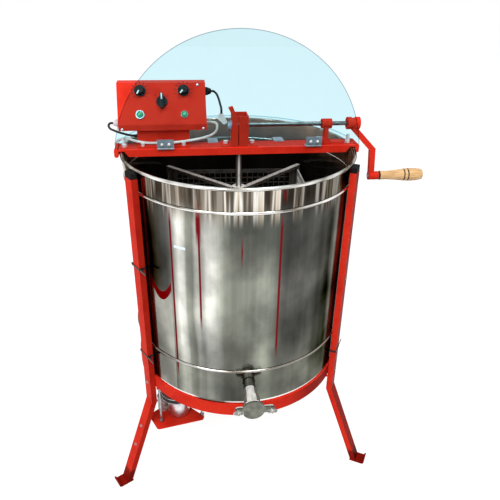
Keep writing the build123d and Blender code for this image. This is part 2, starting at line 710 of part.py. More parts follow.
def bevel_pinion():
    """Pinion on top of the basket shaft."""
    teeth = round(GEAR_TEETH * PINION_PITCH / GEAR_PITCH)
    hub_end = BRACKET_FOOT + BAR_TOP + PASS - SHAFT_HEIGHT
    pinion = bevel(PINION_PITCH, GEAR_PITCH, GEAR_FACE, PINION_PITCH, hub_end, teeth)
    pinion = Pos(0, 0, SHAFT_HEIGHT) * pinion
    return pinion - rod_z(BASKET_SHAFT / 2 + RUN_FIT, 0, SHAFT_HEIGHT)


def gear_bracket():
    """Foot, post, cheeks with the shaft's bearings, back plate and leaning lever."""
    foot_top = BAR_TOP + BRACKET_FOOT
    bracket = block((-BRACKET_LONG / 2, BRACKET_LONG / 2), (-BRACKET_WIDE / 2, BRACKET_WIDE / 2),
                    (BAR_TOP, foot_top))
    web_back = POST_FRONT + BRACKET_SHEET
    bracket += block((POST_LEFT, POST_RIGHT), (POST_FRONT, web_back), (foot_top, POST_TOP))
    bracket += block((POST_RIGHT - BRACKET_SHEET, POST_RIGHT), (POST_FRONT, POST_BACK), (foot_top, POST_TOP))
    bracket += block((CHEEK_TOP_LEFT, POST_RIGHT), (POST_BACK - BRACKET_SHEET, POST_BACK), (foot_top, POST_TOP))
    bracket += block((POST_LEFT, POST_LEFT + BRACKET_SHEET), (POST_FRONT, web_back + PASS),
                     (foot_top, POST_TOP))
    cheek = [(CHEEK_FOOT_LEFT, foot_top), (CHEEK_RIGHT, foot_top), (CHEEK_RIGHT, POST_TOP),
             (CHEEK_TOP_LEFT, POST_TOP)]
    bracket += slab_xz(cheek, POST_FRONT, POST_FRONT + BRACKET_SHEET)
    wall_x = (CHEEK_TOP_LEFT, CHEEK_TOP_LEFT + CHEEK_WALL)
    bracket += block(wall_x, (POST_FRONT, POST_BACK), (foot_top, POST_TOP))
    lever = [(CHEEK_TOP_LEFT, POST_TOP), (CHEEK_TOP_LEFT + LEVER_THICK, POST_TOP),
             (CHEEK_TOP_LEFT + LEVER_THICK - LEVER_LEAN, POST_TOP + LEVER_TALL),
             (CHEEK_TOP_LEFT - LEVER_LEAN, POST_TOP + LEVER_TALL - BRACKET_SHEET)]
    bracket += slab_xz(lever, POST_FRONT, POST_FRONT + CHEEK_DEEP)
    bracket -= rod_x(SHAFT_RADIUS + RUN_FIT, CHEEK_FOOT_LEFT, POST_RIGHT + PASS, 0, SHAFT_HEIGHT)
    return bracket - rod_z(BASKET_SHAFT + MOVE_GAP, BAR_TOP - PASS, foot_top + PASS)


def clutch_switch():
    """Round flanged socket of the clutch switch, on the outside of the bracket's wall."""
    face = CHEEK_TOP_LEFT
    socket = rod_x(SWITCH_RADIUS, face - BRACKET_SHEET, face, 0, SWITCH_HEIGHT)
    return socket + rod_x(SWITCH_NOSE, face - SWITCH_LONG, face - BRACKET_SHEET, 0, SWITCH_HEIGHT)


def crank_shaft():
    """Round shaft from the gear bracket to the crank's hub."""
    return rod_x(SHAFT_RADIUS, SHAFT_START, HUB_RIGHT, 0, SHAFT_HEIGHT)


def shaft_pedestal():
    """Outboard bearing of the crank shaft: barrel, post and foot in one casting."""
    middle = (PEDESTAL_LEFT + PEDESTAL_RIGHT) / 2
    foot_top = BAR_TOP + PEDESTAL_FOOT_TALL
    half = PEDESTAL_FOOT_WIDE / 2
    casting = block(PEDESTAL_FOOT, (-half, half), (BAR_TOP, foot_top))
    post_deep = (-PEDESTAL_POST, PEDESTAL_POST)
    casting += block((middle - PEDESTAL_POST / 2, middle + PEDESTAL_POST / 2), post_deep,
                     (foot_top, SHAFT_HEIGHT))
    casting += rod_x(BARREL_RADIUS, PEDESTAL_LEFT, PEDESTAL_RIGHT, 0, SHAFT_HEIGHT)
    left = middle - PEDESTAL_POST / 2 - PEDESTAL_FILLET
    right = middle + PEDESTAL_POST / 2 + PEDESTAL_FILLET
    web = [(left, foot_top), (right, foot_top), (middle, foot_top + 2 * PEDESTAL_FILLET)]
    casting += slab_xz(web, *post_deep)
    return casting - rod_x(SHAFT_RADIUS + RUN_FIT, PEDESTAL_LEFT - PASS, PEDESTAL_RIGHT + PASS, 0, SHAFT_HEIGHT)


def crank_arm():
    """Hub with flared ends, arm bent out and down, and the boss of the grip's spindle."""
    hub = rod_x(HUB_WAIST, HUB_LEFT, HUB_RIGHT, 0, SHAFT_HEIGHT)
    flare = (HUB_RIGHT - HUB_LEFT) / 3
    for start in (HUB_LEFT, HUB_RIGHT - flare):
        hub += rod_x(HUB_RADIUS, start, start + flare, 0, SHAFT_HEIGHT)
    half = ARM_THICK / 2
    start_z = SHAFT_HEIGHT - half
    bend_z = SHAFT_HEIGHT - ARM_BEND_DROP * (SHAFT_HEIGHT - GRIP_HEIGHT)
    bend_turn = math.atan2(start_z - bend_z, ARM_BEND_X - ARM_START)
    shift = half * math.tan((math.pi / 2 - bend_turn) / 2)
    reach = half / math.cos(bend_turn)
    arm = [(ARM_START, start_z + reach), (ARM_START, start_z - reach),
           (ARM_BEND_X - half, bend_z - shift), (ARM_FOOT_X - half, GRIP_HEIGHT),
           (ARM_FOOT_X + half, GRIP_HEIGHT), (ARM_BEND_X + half, bend_z + shift)]
    hub += slab_xz(arm, -ARM_DEEP / 2, ARM_DEEP / 2)
    hub += rod_x(GRIP_SMALL, ARM_FOOT_X - half, GRIP_START - MOVE_GAP, 0, GRIP_HEIGHT)
    hub -= rod_x(SHAFT_RADIUS + RUN_FIT, HUB_LEFT - PASS, HUB_RIGHT, 0, SHAFT_HEIGHT)
    return hub - rod_x(SPINDLE_RADIUS + RUN_FIT, ARM_FOOT_X - half - PASS, GRIP_START, 0, GRIP_HEIGHT)


def grip_spindle():
    """Bolt that the grip turns on, its head sunk in the grip's end."""
    start = ARM_FOOT_X - ARM_THICK / 2
    shank = rod_x(SPINDLE_RADIUS, start, GRIP_END - SPINDLE_HEAD, 0, GRIP_HEIGHT)
    return shank + rod_x(SPINDLE_HEAD, GRIP_END - SPINDLE_HEAD, GRIP_END - SPINDLE_HEAD / 2, 0, GRIP_HEIGHT)


def crank_grip():
    """Turned wooden grip, swelling towards its free end, with two burnt rings."""
    long = GRIP_END - GRIP_START
    waist = (GRIP_SMALL + GRIP_LARGE) / 2 - PASS
    collar = GRIP_SMALL - PASS
    profile = Polyline((0, 0), (collar, 0), (collar, BURN_WIDE), (GRIP_SMALL + PASS, 2 * BURN_WIDE))
    swell = Spline((GRIP_SMALL + PASS, 2 * BURN_WIDE), (waist, GRIP_WAIST * long),
                   (GRIP_LARGE, GRIP_FULLEST * long), (GRIP_TIP, long))
    face = make_face([profile, swell, Line((GRIP_TIP, long), (0, long)), Line((0, long), (0, 0))])
    grip = revolve(Plane.XZ * face, Axis.Z)
    for share, left in BURN_RINGS:
        grip -= ring_z(2 * GRIP_LARGE, left, share * long - BURN_WIDE / 2, share * long + BURN_WIDE / 2)
    grip -= rod_z(SPINDLE_RADIUS + RUN_FIT * 2, -PASS, long)
    grip -= rod_z(SPINDLE_HEAD + MOVE_GAP, long - SPINDLE_HEAD - MOVE_GAP, long + PASS)
    return Pos(GRIP_START, 0, GRIP_HEIGHT) * Rot(0, 90, 0) * grip


# ---- Control box ------------------------------------------------------------------------------
def box_outline(inset):
    """Return the (y, z) outline of the box, moved inwards by a sheet."""
    run = inset * (PANEL_SLOPE - (PANEL_TOP_Z - PANEL_FOOT_Z)) / (PANEL_TOP_Y - PANEL_FOOT_Y)
    top_run = inset * (PANEL_SLOPE + (PANEL_TOP_Y - PANEL_FOOT_Y)) / (PANEL_TOP_Z - PANEL_FOOT_Z)
    back = BOX_BACK + (PASS if inset else 0)
    return [
        (PANEL_FOOT_Y + inset, PANEL_FOOT_Z - BOX_LIP + inset), (PANEL_FOOT_Y + inset, PANEL_FOOT_Z - run),
        (PANEL_TOP_Y + top_run, PANEL_TOP_Z - inset), (back, PANEL_TOP_Z - inset),
        (back, PANEL_FOOT_Z - BOX_LIP + inset),
    ]


def on_panel(spot, radius, low, high):
    """Return a cylinder standing on the panel at (across, up), between two heights."""
    return PANEL.location * rod_z(radius, low, high, *spot)


def control_box():
    """Sheet box with its leaning panel and the holes for the controls, open at the back."""
    left, right = BOX_LEFT, BOX_LEFT + BOX_WIDE
    box = slab_yz(box_outline(0), left, right)
    box -= slab_yz(box_outline(BOX_SHEET), left + BOX_SHEET, right - BOX_SHEET)
    holes = [(spot, KNOB_SPINDLE) for spot in KNOB_SPOTS.values()]
    holes += [(SELECTOR_SPOT, KNOB_SPINDLE), (BUTTON_SPOT, BUTTON_RADIUS)]
    for spot, radius in holes:
        box -= on_panel(spot, radius + BOLT_FIT, -2 * BOX_SHEET, PASS)
    return box


def box_back():
    """Back plate inside the box's open back."""
    gap = BOX_SHEET + SEAT_GAP
    return block((BOX_LEFT + gap, BOX_LEFT + BOX_WIDE - gap), (BOX_BACK - BOX_SHEET, BOX_BACK),
                 (PANEL_FOOT_Z - BOX_LIP + gap, PANEL_TOP_Z - gap))


def box_stand():
    """Folded stand between the bar and the box, with its foot flange."""
    top = PANEL_FOOT_Z - BOX_LIP
    foot_top = BAR_TOP + STAND_SHEET
    span = (STAND_LEFT, STAND_RIGHT)
    stand = block(span, (STAND_FLANGE_FRONT, STAND_BACK), (BAR_TOP, foot_top))
    stand += block(span, (STAND_FRONT, STAND_FRONT + STAND_SHEET), (foot_top, top))
    stand += block(span, (STAND_FRONT, STAND_BACK), (top - STAND_SHEET, top))
    for start in (STAND_LEFT, STAND_RIGHT - STAND_SHEET):
        stand += block((start, start + STAND_SHEET), (STAND_FRONT, STAND_BACK), (foot_top, top))
    return stand


def turning_knob(spot):
    """Fluted pot knob with a skirt and its spindle."""
    low = MOVE_GAP
    knob = rod_z(KNOB_SKIRT, low, low + KNOB_SKIRT_TALL) + rod_z(KNOB_CAP, low, low + KNOB_TALL)
    for index in range(KNOB_FLUTES):
        flute = rod_z(KNOB_FLUTE, low + KNOB_SKIRT_TALL, low + KNOB_TALL + PASS, KNOB_CAP)
        knob -= Rot(0, 0, 360 / KNOB_FLUTES * index) * flute
    knob += rod_z(KNOB_SPINDLE, -SPINDLE_DEEP, low)
    return PANEL.location * Pos(*spot, 0) * knob


def selector_knob():
    """Three-way selector: round body with a grip bar across it."""
    low = MOVE_GAP
    body = rod_z(SELECTOR_RADIUS, low, BEZEL_TALL + MOVE_GAP)
    grip = block((-SELECTOR_BAR / 2, SELECTOR_BAR / 2), (-SELECTOR_LONG / 2, SELECTOR_LONG / 2),
                 (BEZEL_TALL, SELECTOR_TALL))
    knob = body + round_edges(grip, Axis.Z, SELECTOR_BAR / 2 - SEAT_GAP)
    knob += rod_z(KNOB_SPINDLE, -SPINDLE_DEEP, low)
    return PANEL.location * Pos(*SELECTOR_SPOT, 0) * knob


def start_button():
    """Green push-button with a domed face, standing out by its travel."""
    body = rod_z(BUTTON_RADIUS, -SPINDLE_DEEP, BUTTON_TALL - SCREW_DOME)
    button = body + dome_z(BUTTON_RADIUS, SCREW_DOME, 0, 0, BUTTON_TALL - SCREW_DOME)
    return PANEL.location * Pos(*BUTTON_SPOT, 0) * button


def panel_bezels():
    """Chrome rings of the button and lamp, and the screws of the panel and its lower fold."""
    rings = [(BUTTON_SPOT, BUTTON_BEZEL, BUTTON_RADIUS + MOVE_GAP),
             (LAMP_SPOT, LAMP_BEZEL, LAMP_RADIUS + SEAT_GAP)]
    solids = []
    for spot, outer, inner in rings:
        ring = ring_z(outer, inner, 0, BEZEL_TALL, *spot)
        top = ring.edges().filter_by(GeomType.CIRCLE).group_by(Axis.Z)[-1]
        solids.append(PANEL.location * chamfer(top, BEZEL_TALL / 4))
    for spot in PANEL_SCREWS:
        solids.append(PANEL.location * dome_z(SCREW_RADIUS, SCREW_DOME, *spot))
    for across in FOLD_SCREWS:
        place = Pos(BOX_LEFT + across, PANEL_FOOT_Y, PANEL_FOOT_Z - BOX_LIP + FOLD_SCREW_RISE)
        solids.append(place * Rot(90, 0, 0) * dome_z(SCREW_RADIUS, SCREW_DOME))
    return Compound(children=solids)


def pilot_lamp():
    """Green lens of the pilot lamp."""
    lens = rod_z(LAMP_RADIUS, 0, LAMP_TALL - SCREW_DOME) + dome_z(LAMP_RADIUS, SCREW_DOME, 0, 0,
                                                                  LAMP_TALL - SCREW_DOME)
    return PANEL.location * Pos(*LAMP_SPOT, 0) * lens


# ---- Cables -----------------------------------------------------------------------------------
def cable_glands():
    """Hexagon nuts and tapered sleeves where cables enter the box's two sides."""
    left, right = BOX_LEFT, BOX_LEFT + BOX_WIDE
    solids = []
    for x, side, (y, z) in ((left, -1, LEFT_GLAND), (right, 1, RIGHT_GLAND)):
        sleeve_long = GLAND_LONG - GLAND_NUT_LONG
        gland = hexagon_z(GLAND_NUT, 0, GLAND_NUT_LONG)
        gland += Pos(0, 0, GLAND_NUT_LONG + sleeve_long / 2) * Cone(GLAND_RADIUS, GLAND_TIP, sleeve_long)
        solids.append(Pos(x, y, z) * Rot(0, side * 90, 0) * gland)
    return Compound(children=solids)


def cable(name, points, radius):
    """Sweep a round cable along straight runs joined by tangent arcs."""
    points = [Vector(*point) for point in points]
    runs = [b - a for a, b in zip(points, points[1:])]
    radii = []
    for before, after in zip(runs, runs[1:]):
        turn = math.radians(before.get_angle(after))
        radii.append(0.45 * min(before.length, after.length) / math.tan(turn / 2))
    path = FilletPolyline(*points, radius=radii)
    start = Plane(origin=points[0], z_dir=runs[0])
    tube = sweep(start * Circle(radius), path=path)
    share = tube.volume / (math.pi * radius ** 2 * path.length)
    print(f"{name}: {path.length:.0f} mm, volume share {share:.4f}, radii", [round(r) for r in radii])
    return tube


def black_cables():
    """Supply lead from the left gland to the stand, and lead from the right gland to the plug."""
    left_y, left_z = LEFT_GLAND
    right_y, right_z = RIGHT_GLAND
    left_x = BOX_LEFT - GLAND_LONG
    right_x = BOX_LEFT + BOX_WIDE + GLAND_LONG
    _, end_y, end_z = SUPPLY_ROUTE[-1]
    supply = [(left_x, left_y, left_z), *SUPPLY_ROUTE, (STAND_LEFT, end_y, end_z)]
    plug_top = max(z for _, z in CABLE_PLUG)
    lead = [(right_x, right_y, right_z), *LEAD_ROUTE, (LEAD_X, CABLE_PLUG_Y, plug_top + CABLE_PLUG_DEEP),
            (LEAD_X, CABLE_PLUG_Y, plug_top)]
    return Compound(children=[cable("supply lead", supply, THIN_CABLE), cable("plug lead", lead, THIN_CABLE)])


def cable_plug():
    """Pale plug on the end of the black lead, pushed on to the clutch switch."""
    plug = slab_xz(CABLE_PLUG, CABLE_PLUG_Y - CABLE_PLUG_DEEP / 2, CABLE_PLUG_Y + CABLE_PLUG_DEEP / 2)
    return round_edges(plug, Axis.Y, CABLE_PLUG_ROUND)


def beside_leg(tangent, radial, height):
    """Return a point beside the left leg: along its width, from the drum's axis, and height."""
    angle = math.radians(LEG_ANGLES["left"])
    x = tangent * math.cos(angle) + radial * math.sin(angle)
    y = tangent * math.sin(angle) - radial * math.cos(angle)
    return (x, y, height)


def below_rim(angle):
    """Return a point under the rolled rim at an angle from the front, for a run of short chords."""
    half_step = math.radians(TUCK_ANGLES[1] - TUCK_ANGLES[0]) / 2
    radius = (DRUM_RADIUS + SEAT_GAP + MOTOR_CABLE) / math.cos(half_step)
    height = RIM_HEIGHT - RIM_BEAD - MOTOR_CABLE - 2 * SEAT_GAP
    turn = math.radians(angle)
    return (radius * math.sin(turn), -radius * math.cos(turn), height)


def motor_cable():
    """Pale cable from the box over the bar's end, below the rim and down behind the left leg."""
    side = -LEG_WIDE / 2 - 2 * SEAT_GAP - MOTOR_CABLE
    middle = (LEG_INNER + LEG_OUTER) / 2
    head_side = HEAD_X - HEAD_RADIUS
    points = [
        (BOX_LEFT + BOX_WIDE + SEAT_GAP, *LOOP_START), *LOOP_ROUTE, *(below_rim(angle) for angle in TUCK_ANGLES),
        beside_leg(side, middle, LEG_TOP - LEG_WIDE), beside_leg(side, middle, LEG_BEND + 2 * HEAD_TALL),
        beside_leg(side, middle - MOTOR_CABLE, LEG_BEND), (head_side - HEAD_RADIUS, HEAD_Y, MOTOR_CABLE_LOW),
        (head_side, HEAD_Y, MOTOR_CABLE_LOW),
    ]
    return cable("motor cable", points, MOTOR_CABLE)


# ---- Basket -----------------------------------------------------------------------------------
def basket_shaft():
    """Upright shaft with the collar that rests over the bottom bearing."""
    shaft = rod_z(BASKET_SHAFT, SHAFT_BOTTOM, BAR_TOP + BRACKET_FOOT)
    shaft += rod_z(BASKET_SHAFT / 2, BAR_TOP, SHAFT_TOP - 2 * GEAR_FACE - PASS)
    return shaft + rod_z(COLLAR_RADIUS, BOSS_TOP + MOVE_GAP, BOSS_TOP + MOVE_GAP + COLLAR_TALL)


def spider(height):
    """Hub with four arms to the corners of the cage."""
    tall = (height - HUB_TALL / 2, height + HUB_TALL / 2)
    arms = rod_z(HUB_OUT, *tall)
    reach = CAGE_CORNER - POST_WIDE / 2
    arm = block((0, reach), (-ARM_WIDE / 2, ARM_WIDE / 2), (height - ARM_SHEET / 2, height + ARM_SHEET / 2))
    for index in range(4):
        arms += Rot(0, 0, 90 * index) * arm
    arms -= rod_z(BASKET_SHAFT + RUN_FIT, tall[0] - PASS, tall[1] + PASS)
    return Rot(0, 0, BASKET_TURN) * arms


def basket_posts():
    """Four corner posts between the spiders, one solid each."""
    low = SPIDER_BOTTOM - ARM_SHEET / 2
    high = SPIDER_TOP + ARM_SHEET / 2
    half = POST_WIDE / 2
    post = block((CAGE_CORNER - half, CAGE_CORNER + half), (-half, half), (low, high))
    return Compound(children=[Rot(0, 0, BASKET_TURN + 90 * index) * post for index in range(4)])


def mesh_panel(index):
    """One side of the cage: a frame filled with square wire mesh."""
    low = SPIDER_BOTTOM + ARM_SHEET
    high = SPIDER_TOP - ARM_SHEET
    half = BASKET_HALF - POST_WIDE * math.sqrt(0.5) - SEAT_GAP
    tall = high - low
    sheet = Rectangle(2 * half, tall)
    hole = MESH_PITCH - MESH_WIRE
    across = int((2 * half - 2 * MESH_FRAME) // MESH_PITCH)
    up = int((tall - 2 * MESH_FRAME) // MESH_PITCH)
    outline = sheet.faces()[0].outer_wire()
    squares = []
    for column in range(across):
        for row in range(up):
            x = (column - (across - 1) / 2) * MESH_PITCH
            y = (row - (up - 1) / 2) * MESH_PITCH
            squares.append((Pos(x, y) * Rectangle(hole, hole)).faces()[0].outer_wire())
    grille = extrude(Face(outline, squares), amount=MESH_SHEET, dir=(0, 0, 1))
    upright = Pos(0, -BASKET_HALF + MESH_SHEET / 2, (low + high) / 2) * Rot(90, 0, 0) * grille
    return Rot(0, 0, BASKET_TURN + 45 + 90 * index) * upright


# ---- Motor drive ------------------------------------------------------------------------------
def pulley(radius, bore, x, y):
    """Flanged pulley whose rim is as far below its flanges as the belt is thick."""
    wheel = ring_z(radius, bore, PULLEY_LOW, PULLEY_HIGH, x, y)
    groove = ring_z(radius + PASS, radius - BELT_THICK, PULLEY_LOW + PULLEY_FLANGE,
                    PULLEY_HIGH - PULLEY_FLANGE, x, y)
    return wheel - groove


def driven_pulley():
    """Pulley on the foot of the basket shaft."""
    return pulley(DRIVEN_RADIUS, BASKET_SHAFT + RUN_FIT, 0, 0)


def motor_pulley():
    """Pulley on the motor's shaft."""
    shaft = rod_z(MOTOR_SHAFT, PLATE_TOP + PULLEY_FLANGE, PULLEY_HIGH, MOTOR_X, MOTOR_Y)
    return pulley(MOTOR_PULLEY_RADIUS, MOTOR_SHAFT - PASS, MOTOR_X, MOTOR_Y) + shaft


def belt_outline(grow):
    """Return the outline round both pulleys' rims, grown outwards."""
    big = DRIVEN_RADIUS - BELT_THICK + grow
    small = MOTOR_PULLEY_RADIUS - BELT_THICK + grow
    apart = math.hypot(MOTOR_X, MOTOR_Y)
    lean = math.asin((big - small) / apart)
    sine, cosine = math.sin(lean), math.cos(lean)
    near = [(big * sine, side * big * cosine) for side in (1, -1)]
    far = [(apart + small * sine, side * small * cosine) for side in (1, -1)]
    lines = Curve() + [
        Line(near[0], far[0]), ThreePointArc(far[0], (apart + small, 0), far[1]),
        Line(far[1], near[1]), ThreePointArc(near[1], (-big, 0), near[0]),
    ]
    return make_face(lines)


def drive_belt():
    """Flat belt round both pulleys."""
    loop = belt_outline(BELT_THICK) - belt_outline(MOVE_GAP)
    belt = Pos(0, 0, BELT_LOW) * extrude(loop, amount=BELT_TALL)
    return Rot(0, 0, math.degrees(math.atan2(MOTOR_Y, MOTOR_X))) * belt


def motor_plate():
    """Rounded plate that hangs under the drum and carries the motor."""
    plate = slab_xy(PLATE_CORNERS, PLATE_TOP - PLATE_THICK, PLATE_TOP)
    plate = round_edges(plate, Axis.Z, PLATE_ROUND)
    for x, y in ROD_PLACES:
        plate -= rod_z(ROD_RADIUS + BOLT_FIT, 0, PLATE_TOP + PASS, x, y)
    return plate


def motor_rods():
    """Threaded rods from the hanger bar to the motor plate, with their nuts."""
    solids = []
    for x, y in ROD_PLACES:
        rod = rod_z(ROD_RADIUS, PLATE_TOP - PLATE_THICK - NUT_TALL, HOOP_BOTTOM, x, y)
        for low in (PLATE_TOP - PLATE_THICK - NUT_TALL, PLATE_TOP, HOOP_BOTTOM - HANGER_THICK - NUT_TALL):
            rod += hexagon_z(2 * ROD_RADIUS, low, low + NUT_TALL, x, y)
        solids.append(rod)
    return Compound(children=solids)


def motor_can():
    """Motor body under its pulley, hollow where the turning shaft enters."""
    top = PULLEY_LOW - PULLEY_FLANGE
    can = rod_z(CAN_RADIUS, PLATE_TOP, top, MOTOR_X, MOTOR_Y)
    rim = can.edges().filter_by(GeomType.CIRCLE).group_by(Axis.Z)
    can = fillet(rim[0] + rim[-1], PULLEY_FLANGE)
    return can - rod_z(MOTOR_SHAFT + RUN_FIT, PLATE_TOP + PULLEY_FLANGE - PASS, top + PASS, MOTOR_X, MOTOR_Y)


def gear_head():
    """Bright grooved gear head beside the motor."""
    head = rod_z(HEAD_RADIUS, PLATE_TOP, PLATE_TOP + HEAD_TALL, HEAD_X, HEAD_Y)
    step = HEAD_TALL / (HEAD_GROOVES + 2)
    for index in range(HEAD_GROOVES):
        low = PLATE_TOP + HEAD_TALL - step * (index + 1)
        head -= ring_z(HEAD_RADIUS + PASS, HEAD_RADIUS - HEAD_GROOVE, low - HEAD_GROOVE, low, HEAD_X, HEAD_Y)
    return head


# ---- Honey gate -------------------------------------------------------------------------------
def gate_ears(y_start, y_end, left, right):
    """Disc with an ear to each side, on the pipe's axis."""
    disc = rod_y(GATE_FLANGE, y_start, y_end, GATE_X, GATE_HEIGHT)
    for reach in (left, right):
        ear = rod_y(GATE_EAR, y_start, y_end, GATE_X + reach, GATE_HEIGHT)
        neck = block((GATE_X, GATE_X + reach), (y_start, y_end), (GATE_HEIGHT - GATE_EAR, GATE_HEIGHT + GATE_EAR))
        disc += ear + neck
    return disc


def gate_body():
    """Pipe through the drum's wall, its sleeve, the face with two ears, and the studs."""
    flange_back = GATE_FACE + GATE_FLANGE_THICK
    body = rod_y(GATE_PIPE, GATE_START, flange_back, GATE_X, GATE_HEIGHT)
    body += rod_y(GATE_SLEEVE, GATE_SLEEVE_START, flange_back, GATE_X, GATE_HEIGHT)
    body += gate_ears(flange_back, GATE_FACE, LEFT_STUD, RIGHT_STUD)
    body -= rod_y(GATE_BORE, GATE_START + PASS, GATE_FACE - PASS, GATE_X, GATE_HEIGHT)
    for reach in (LEFT_STUD, RIGHT_STUD):
        body += rod_y(STUD_RADIUS, GATE_FACE, GATE_FACE - FLAP_THICK - STUD_TALL, GATE_X + reach, GATE_HEIGHT)
        body += rod_y(STUD_RADIUS + PASS, flange_back, flange_back + PASS, GATE_X + reach, GATE_HEIGHT)
    return body


def gate_flap():
    """Flap that swings on the right stud; its left ear is slotted open downwards."""
    back = GATE_FACE - MOVE_GAP
    flap = gate_ears(back, back - FLAP_THICK, LEFT_STUD, RIGHT_STUD)
    flap -= rod_y(STUD_RADIUS + RUN_FIT, back + PASS, back - FLAP_THICK - PASS, GATE_X + RIGHT_STUD, GATE_HEIGHT)
    slot_x = GATE_X + LEFT_STUD
    flap -= rod_y(STUD_SLOT, back + PASS, back - FLAP_THICK - PASS, slot_x, GATE_HEIGHT)
    return flap - block((slot_x - STUD_SLOT, slot_x + STUD_SLOT), (back + PASS, back - FLAP_THICK - PASS),
                        (GATE_HEIGHT - GATE_EAR - PASS, GATE_HEIGHT))


def wing_nut(reach):
    """Nut with two rounded wings on one of the gate's studs."""
    start = GATE_FACE - FLAP_THICK - 2 * MOVE_GAP
    x = GATE_X + reach
    nut = rod_y(WING_HUB, start, start - WING_HUB_TALL, x, GATE_HEIGHT)
    half = WING_THICK / 2
    for side in (-1, 1):
        lobe = Pos(side * (WING_SPAN - WING_TALL) / 2, start - WING_TALL / 2, 0)
        blade = lobe * Cylinder(WING_TALL / 2, WING_THICK)
        inner = block((0, side * (WING_SPAN - WING_TALL) / 2), (start, start - WING_HUB_TALL), (-half, half))
        nut += Pos(x, 0, GATE_HEIGHT) * (blade + inner)
    nut = nut - block((x - WING_SPAN, x + WING_SPAN), (start, start + WING_TALL),
                      (GATE_HEIGHT - WING_TALL, GATE_HEIGHT + WING_TALL))
    return nut - rod_y(STUD_RADIUS + RUN_FIT, start + PASS, start - WING_TALL - PASS, x, GATE_HEIGHT)


# ---- Assembly ---------------------------------------------------------------------------------
PIECES = {
    "drum_shell": drum_shell(), "drum_floor": drum_floor(), "base_hoop": base_hoop(),
    "base_cross": base_cross(), "leg_plugs": leg_plugs(), "leg_bolts": leg_bolts(),
    "cable_ties": cable_ties(), "crossbar": crossbar(), "bar_bolts": bar_bolts(),
    "hinge_fixed": hinge_fixed(), "hinge_moving": hinge_moving(), "front_lid": front_lid(),
    "rear_lid": rear_lid(), "gear_bracket": gear_bracket(), "clutch_switch": clutch_switch(),
    "bevel_gear": bevel_gear(), "bevel_pinion": bevel_pinion(), "crank_shaft": crank_shaft(),
    "shaft_pedestal": shaft_pedestal(), "crank_arm": crank_arm(), "grip_spindle": grip_spindle(),
    "crank_grip": crank_grip(), "control_box": control_box(), "box_back": box_back(),
    "box_stand": box_stand(), "selector_knob": selector_knob(), "start_button": start_button(),
    "panel_bezels": panel_bezels(), "pilot_lamp": pilot_lamp(), "cable_glands": cable_glands(),
    "black_cables": black_cables(), "cable_plug": cable_plug(), "motor_cable": motor_cable(),
    "basket_shaft": basket_shaft(), "spider_top": spider(SPIDER_TOP), "spider_bottom": spider(SPIDER_BOTTOM),
    "basket_posts": basket_posts(), "driven_pulley": driven_pulley(), "motor_pulley": motor_pulley(),
    "drive_belt": drive_belt(), "motor_plate": motor_plate(), "motor_rods": motor_rods(),
    "motor_can": motor_can(), "gear_head": gear_head(), "gate_body": gate_body(),
    "gate_flap": gate_flap(), "wing_nut_left": wing_nut(LEFT_STUD), "wing_nut_right": wing_nut(RIGHT_STUD),
}
for side in LEG_ANGLES:
    PIECES[f"leg_{side}"] = leg(side)
    PIECES[f"foot_{side}"] = foot(side)
for name, spot in KNOB_SPOTS.items():
    PIECES[name] = turning_knob(spot)
for index, name in enumerate(("right", "rear", "left", "front")):
    PIECES[f"mesh_{name}"] = mesh_panel(index)

boxes = [piece.bounding_box() for piece in PIECES.values()]
axis_x = -(min(box.min.X for box in boxes) + max(box.max.X for box in boxes)) / 2
axis_y = -(min(box.min.Y for box in boxes) + max(box.max.Y for box in boxes)) / 2
os.makedirs("parts", exist_ok=True)
for name, piece in PIECES.items():
    export_step(Pos(axis_x, axis_y, 0) * piece, f"parts/{name}.step")
print(f"{len(PIECES)} nodes; drum axis at x = {axis_x:.3f}, y = {axis_y:.3f}")
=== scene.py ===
"""Looks of the honey extractor: finishes, small trim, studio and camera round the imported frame."""

import logging
import math
from dataclasses import dataclass
from enum import Enum

import bmesh
import bpy
from mathutils import Matrix, Vector


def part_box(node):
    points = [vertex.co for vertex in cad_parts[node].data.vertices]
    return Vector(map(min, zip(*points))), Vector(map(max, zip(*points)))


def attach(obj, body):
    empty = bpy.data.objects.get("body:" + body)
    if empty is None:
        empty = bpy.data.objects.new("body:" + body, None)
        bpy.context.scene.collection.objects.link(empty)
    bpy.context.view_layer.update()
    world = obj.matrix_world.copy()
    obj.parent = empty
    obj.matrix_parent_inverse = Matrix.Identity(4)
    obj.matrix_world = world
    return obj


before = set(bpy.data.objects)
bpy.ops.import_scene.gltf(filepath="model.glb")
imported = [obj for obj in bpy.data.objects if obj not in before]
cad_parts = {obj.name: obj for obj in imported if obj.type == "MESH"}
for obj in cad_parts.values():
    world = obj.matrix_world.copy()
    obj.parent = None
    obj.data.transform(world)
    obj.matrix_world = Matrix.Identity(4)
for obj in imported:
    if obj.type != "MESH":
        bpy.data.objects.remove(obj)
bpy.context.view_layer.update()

LOG = logging.getLogger("honey_extractor")
Colour = tuple[float, float, float]
Socket = bpy.types.NodeSocket
MM = 0.001


class Slot(Enum):
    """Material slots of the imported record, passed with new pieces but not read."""

    ZINC = "zinc"
    BLACK = "black"
    PALE = "pale"


class Body(Enum):
    """Bodies that new pieces ride on."""

    STAND = "stand"
    SPEED = "speed_pot"
    TIMER = "timer_pot"
    SELECTOR = "selector"
    LID = "lid"


# ---- Frame helpers ----------------------------------------------------------------------------
def centre_of(node: str) -> Vector:
    """Return the centre of a node's box.

    Args:
        node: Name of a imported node.

    Returns:
        The centre in metres.
    """
    low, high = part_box(node)
    return (Vector(low) + Vector(high)) / 2


def drum_axis() -> Vector:
    """Return the point where the drum's axis meets the floor."""
    middle = centre_of("base_hoop")
    return Vector((middle.x, middle.y, 0.0))


